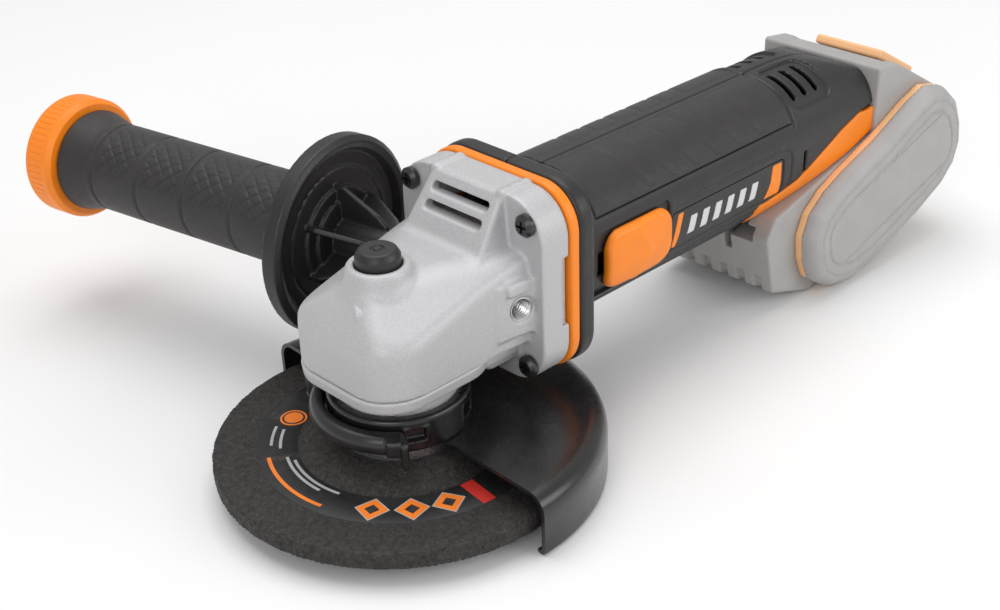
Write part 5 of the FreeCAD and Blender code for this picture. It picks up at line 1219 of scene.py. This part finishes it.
def side_place(x, y, z):
    """Height along the side handle's axis, and the two distances across it: level and upward."""
    dx, dy = x - SIDE_AT[0], y - SIDE_AT[1]
    return dx * SIDE_WAY[0] + dy * SIDE_WAY[1], dx * SIDE_WAY[1] - dy * SIDE_WAY[0], z - SIDE_AT[2]


# %% Shield
SHIELD = [(4.2, 5.2), (7, 5.2), (7, 26.6), (12, 27), (13.4, 27.2), (13.4, 28.4), (17.6, 28.4), (17.9, 29.6),
          (30, 30.0), (31.8, 27.0), (33.8, 26.2), (35.8, 27.6), (35.8, 32.6), (34, 33.8), (30, 32.2), (4.2, 32.2)]


def shield_field(x, y, z):
    """The turned section with a shallow ring cut in it, blended with the webs, less the bolt's hole."""
    height, level, up = side_place(x, y, z)
    radius, turn = np.hypot(level, up), np.degrees(np.arctan2(up, level))
    plate = polygon_field(radius, height, SHIELD, 0.15)
    plate = carve(plate, np.abs(np.hypot(radius - 24.5, height - 29.8)) - 0.35, 0.4)
    web_side = polygon_field(radius, height, [(6, 7), (8.6, 7), (12, 11), (19.3, 25.5), (19.3, 30.5), (6, 30.5)], 0.0)
    away = (turn % 60) - 30
    web = both(web_side, np.abs(radius * np.sin(np.radians(away))) - 0.95, 0.6)
    return carve(blend(plate, web, 0.7), radius - 4.15, 0.3)


skin_of("hand_guard", shield_field, 0.6, "side_handle", "dark_plastic")

# %% [markdown]
# ### Side handle's rubber
#
# The grip is rubber on a nylon core: shallow rings divide it, and the patches where palm and fingers press have
# a raised diamond pattern. Two sets of slanted troughs that cross each other give these diamonds.

# %% Side handle's rubber
RING_FIRST, RING_STEP = 42.4, 23.85
GRIP_RINGS = RING_FIRST + RING_STEP * np.arange(5)


def grip_shape(radius, height, angle):
    """Rings and diamonds: lowers the outer skin by a narrow bell at each ring and along two slanted families."""
    outside = radius > 15.5
    drop = sum(0.8 * np.exp(-((height - ring) / 0.55) ** 2) for ring in GRIP_RINGS)
    arc = 17.0 * angle
    spacing = 5.3407
    troughs = [np.abs((arc + s * height * 0.86) / spacing % 1.0 - 0.5) for s in (-1, 1)]
    lines = np.minimum(*troughs) * spacing
    cell = (height - RING_FIRST) % RING_STEP
    between = (height > RING_FIRST) & (height < GRIP_RINGS[-1])
    patch = np.clip(np.minimum(cell - 2.6, 21.2 - cell) / 0.8, 0, 1) * between
    facing = np.minimum(np.abs((angle - math.radians(62) + math.pi) % (2 * math.pi) - math.pi),
                        np.abs((angle - math.radians(245) + math.pi) % (2 * math.pi) - math.pi))
    patch = patch * np.clip((math.radians(37) - facing) / 0.05, 0, 1)
    drop = drop + 0.45 * patch * np.exp(-(lines / 0.55) ** 2)
    return radius - np.where(outside, drop, 0), height


grip_outline = rounded([(4.2, 32.5, 0), (16, 32.5, 0.5), (17, 34.4, 1.5), (17, 141.5, 8), (19.85, 153.7, 1.0),
                        (12, 153.7, 0), (12, 64.5, 0), (4.2, 64.5, 0)], 8)
side_grip = turned("side_grip_skin", even_steps(grip_outline, 0.55), "side_handle", "side_grip", 300, SIDE_AT,
                   SIDE_WAY, grip_shape, 60)
dress(side_grip, "soft_rubber")


# %% [markdown]
# ### Side handle's cap
#
# The cap is glossy orange and closes the grip's end. Fine ribs round its rim let fingers turn it.

# %% Cap
def cap_shape(radius, height, angle):
    """Fine ribs round the rim: the radius drops in a narrow trough between one rib and the next."""
    trough = np.exp(-((np.abs((angle * 60 / (2 * math.pi)) % 1.0 - 0.5)) / 0.11) ** 2)
    zone = (radius > 22.6) * np.clip((height - 157.3) / 0.8, 0, 1) * np.clip((165.6 - height) / 0.8, 0, 1)
    return radius - 0.3 * trough * zone, height


cap_outline = rounded([(9, 153.9, 0), (21.9, 153.9, 0.5), (23.45, 155.8, 1.2), (23.45, 166.4, 1.8),
                       (21.1, 168.7, 1.6), (16.5, 168.7, 0.8), (15, 165.8, 0.8), (0, 165.8, 0), (0, 162.9, 0),
                       (9, 162.9, 0)], 5)
cap = turned("handle_cap_skin", even_steps(cap_outline, 0.7), "side_handle", "handle_cap", 480, SIDE_AT, SIDE_WAY,
             cap_shape)
dress(cap, "orange_plastic")

# %% [markdown]
# ## Battery
#
# The pack slides under the tail on a slope. A grey core carries the cells; a peach seal and a grey cheek close
# each side. The cheeks have a wide rounded edge and two shallow lines that follow their outline, as the real
# moulding has. All of it is drawn in the slope's own frame, so that it lies flat against the handle.

# %% Battery outlines
CHEEK = [(7.5, -24), (9, -14), (14, -7.5), (23, -3.5), (34, -1.5), (60, 1), (84, 3.5), (96, 3.5), (105, -2),
         (111, -11), (113, -22), (112, -31), (107, -39), (98, -44), (80, -47.5), (42, -49.5), (27, -47.5),
         (16, -41.5), (9, -33)]
CORE = [(-1, -0.5), (-7, -6), (-8, -30), (12, -44), (40, -48), (66, -48.5), (94, -46.5), (103, -43), (110.5, -36.5),
        (112, -8), (84, 20.5), (73.2, 25.2), (66.2, -0.5)]


def drawn_in(corners, amount, middle=(60, -22)):
    """A convex outline pulled towards its middle: each corner moves in by amount along its own direction."""
    points = np.array(corners, float) - middle
    length = np.linalg.norm(points, axis=1, keepdims=True)
    return [tuple(p) for p in points * (1 - amount / length) + middle]


def pack_place(x, z):
    """Place along the slope and square to it."""
    dx, dz = x - slope_x, z - slope_z
    return dx * math.cos(SLOPE) + dz * math.sin(SLOPE), dz * math.cos(SLOPE) - dx * math.sin(SLOPE)


def button_place(along, square):
    """Place along the release pad's slanted face and square to it, both at 45 degrees to the slope."""
    return (along - 98 - square + 6.2) / math.sqrt(2), (along - 98 + square - 6.2) / math.sqrt(2)


ROOMS = (((13.6, -33, -35.7), (107.2, 33, -16.5)), ((34, -24.8, -44.5), (92, 24.8, -37.7)))

# %% Cheeks and seals
cheek_round = drawn_in(CHEEK, 3.2)


def cheek_field(x, y, z, sign):
    """The outline carried outwards with a wide rounded edge, two lines along it, and a room for the cells."""
    along, square = pack_place(x, z)
    flat = polygon_field(along, square, cheek_round, 3.0)
    side = sign * y
    body = both(both(flat, side - 37.95, 7.0), 31.02 - side, 0.3)
    for inset, inner_line in ((5.2, False), (9.6, True)):
        line = np.abs(flat + inset) - (0.42 if inner_line else 0.3)
        body = carve(body, np.maximum(line, 37.95 - 0.55 - side), 0.35)
    raised = np.maximum(flat + 9.6, 37.35 - side)
    body = carve(body, both(np.abs(np.abs(square + 22 - (along - 60) * 0.02) - 12.2) - 0.35,
                            np.maximum(raised, np.abs(along - 60) - 38), 0.3), 0.3)
    return carve(body, box_field(along, y, square, *ROOMS[0], 0.3), 0.3)


def band_field(x, y, z, sign):
    """The same outline, a little smaller, as a thin seal between core and cheek."""
    along, square = pack_place(x, z)
    flat = polygon_field(along, square, cheek_round, 2.7)
    body = both(flat, np.maximum(27.82 - sign * y, sign * y - 30.98), 0.5)
    return carve(body, box_field(along, y, square, *ROOMS[0], 0.3), 0.3)


for label, sign in SIDES:
    for part, field, slot in (("cheek", cheek_field, "pack_grey"), ("band", band_field, "pack_peach")):
        skin_of(f"{label}_battery_{part}", on_side(field, sign), 0.75, "battery", slot)

# %% [markdown]
# ### Battery core
#
# The core is a plain block with six ribs at its foot, a seat for the release pad, rails for the handle and slots
# for the blades. Each is taken out of the block, as the mould's own cores would do.

# %% Battery core
core_round = drawn_in(CORE, 2.2)


def core_field(x, y, z):
    """The block less the gaps between ribs, the pad's seat, the rails, the blades' slots and the rooms."""
    along, square = pack_place(x, z)
    side = np.abs(y)
    flat = polygon_field(along, square, core_round, 1.55)
    body = both(flat, side - 27.75, 1.2)
    for number in range(6):
        gap = np.abs(y + 24.6 - 8.2 * number - 4.1) - 1.6
        front = np.maximum(-flat - 1.6, np.maximum(square + 25, along - 13))
        body = carve(body, np.maximum(gap, front), 1.0)
    top_seat = both(box_field(along - 98, y, square - 6.2, (-60, -22, -60), (60, 22, 60), 2.0), -flat - 0.9, 0.4)
    body = carve(body, np.maximum(top_seat, np.maximum(82 - along, -20 - square)), 0.5)
    slant, normal = button_place(along, square)
    body = carve(body, box_field(slant, y, normal, (-14.5, -16.5, -3.5), (14.5, 16.5, 12), 0.3), 0.2)
    rail_foot = np.maximum(side - 20.4, np.maximum(-8.4 - square, square + 3.6))
    rail = np.minimum(np.maximum(side - 16.4, -8.4 - square), rail_foot)
    body = carve(body, np.maximum(rail, np.maximum(-13 - along, along - 61)), 0.3)
    blades = np.maximum(np.abs(side - 8) - 1.7, np.maximum(np.maximum(-13 - along, along - 50), -15.5 - square))
    body = carve(body, np.maximum(blades, square + 8), 0.2)
    for room in ROOMS:
        body = carve(body, box_field(along, y, square, *room, 0.3), 0.3)
    return body


skin_of("battery_case", core_field, 0.75, "battery", "pack_grey")


# %% [markdown]
# ### Release pad
#
# A thumb presses this flat pad on the pack's slanted rear face. Three shallow grooves keep the thumb from
# slipping.

# %% Release pad
def pack_button_field(x, y, z):
    """A flat pad on the slanted rear face, with rounded corners and three shallow cross grooves."""
    along, square = pack_place(x, z)
    slant, normal = button_place(along, square)
    pad = box_field(slant, y, normal, (-13.9, -15.9, 0.05), (13.9, 15.9, 3.9), 1.1)
    for middle in (-3, 0, 3):
        pad = carve(pad, np.maximum(np.abs(slant - middle) - 0.5, np.maximum(np.abs(y) - 9, 3.3 - normal)), 0.4)
    return pad


skin_of("battery_button", pack_button_field, 0.5, "release", SLOT_OF["battery_button"])

# %% [markdown]
# ## Floor
#
# The floor lies half a millimetre under the tool.

# %% The floor
floor_z = (cad_low.z - 0.0005) / MM
bpy.ops.mesh.primitive_plane_add(size=6, location=(0.1, 0.1, floor_z * MM))
floor = bpy.context.object
floor.name = "floor"
floor_finish, floor_tree, floor_shader = new_finish("floor_paper", (0.86, 0.86, 0.86), 0.9)
tinted(floor_tree, floor_shader, (0.86, 0.86, 0.86), 300.0, 0.01)
floor.data.materials.append(floor_finish)
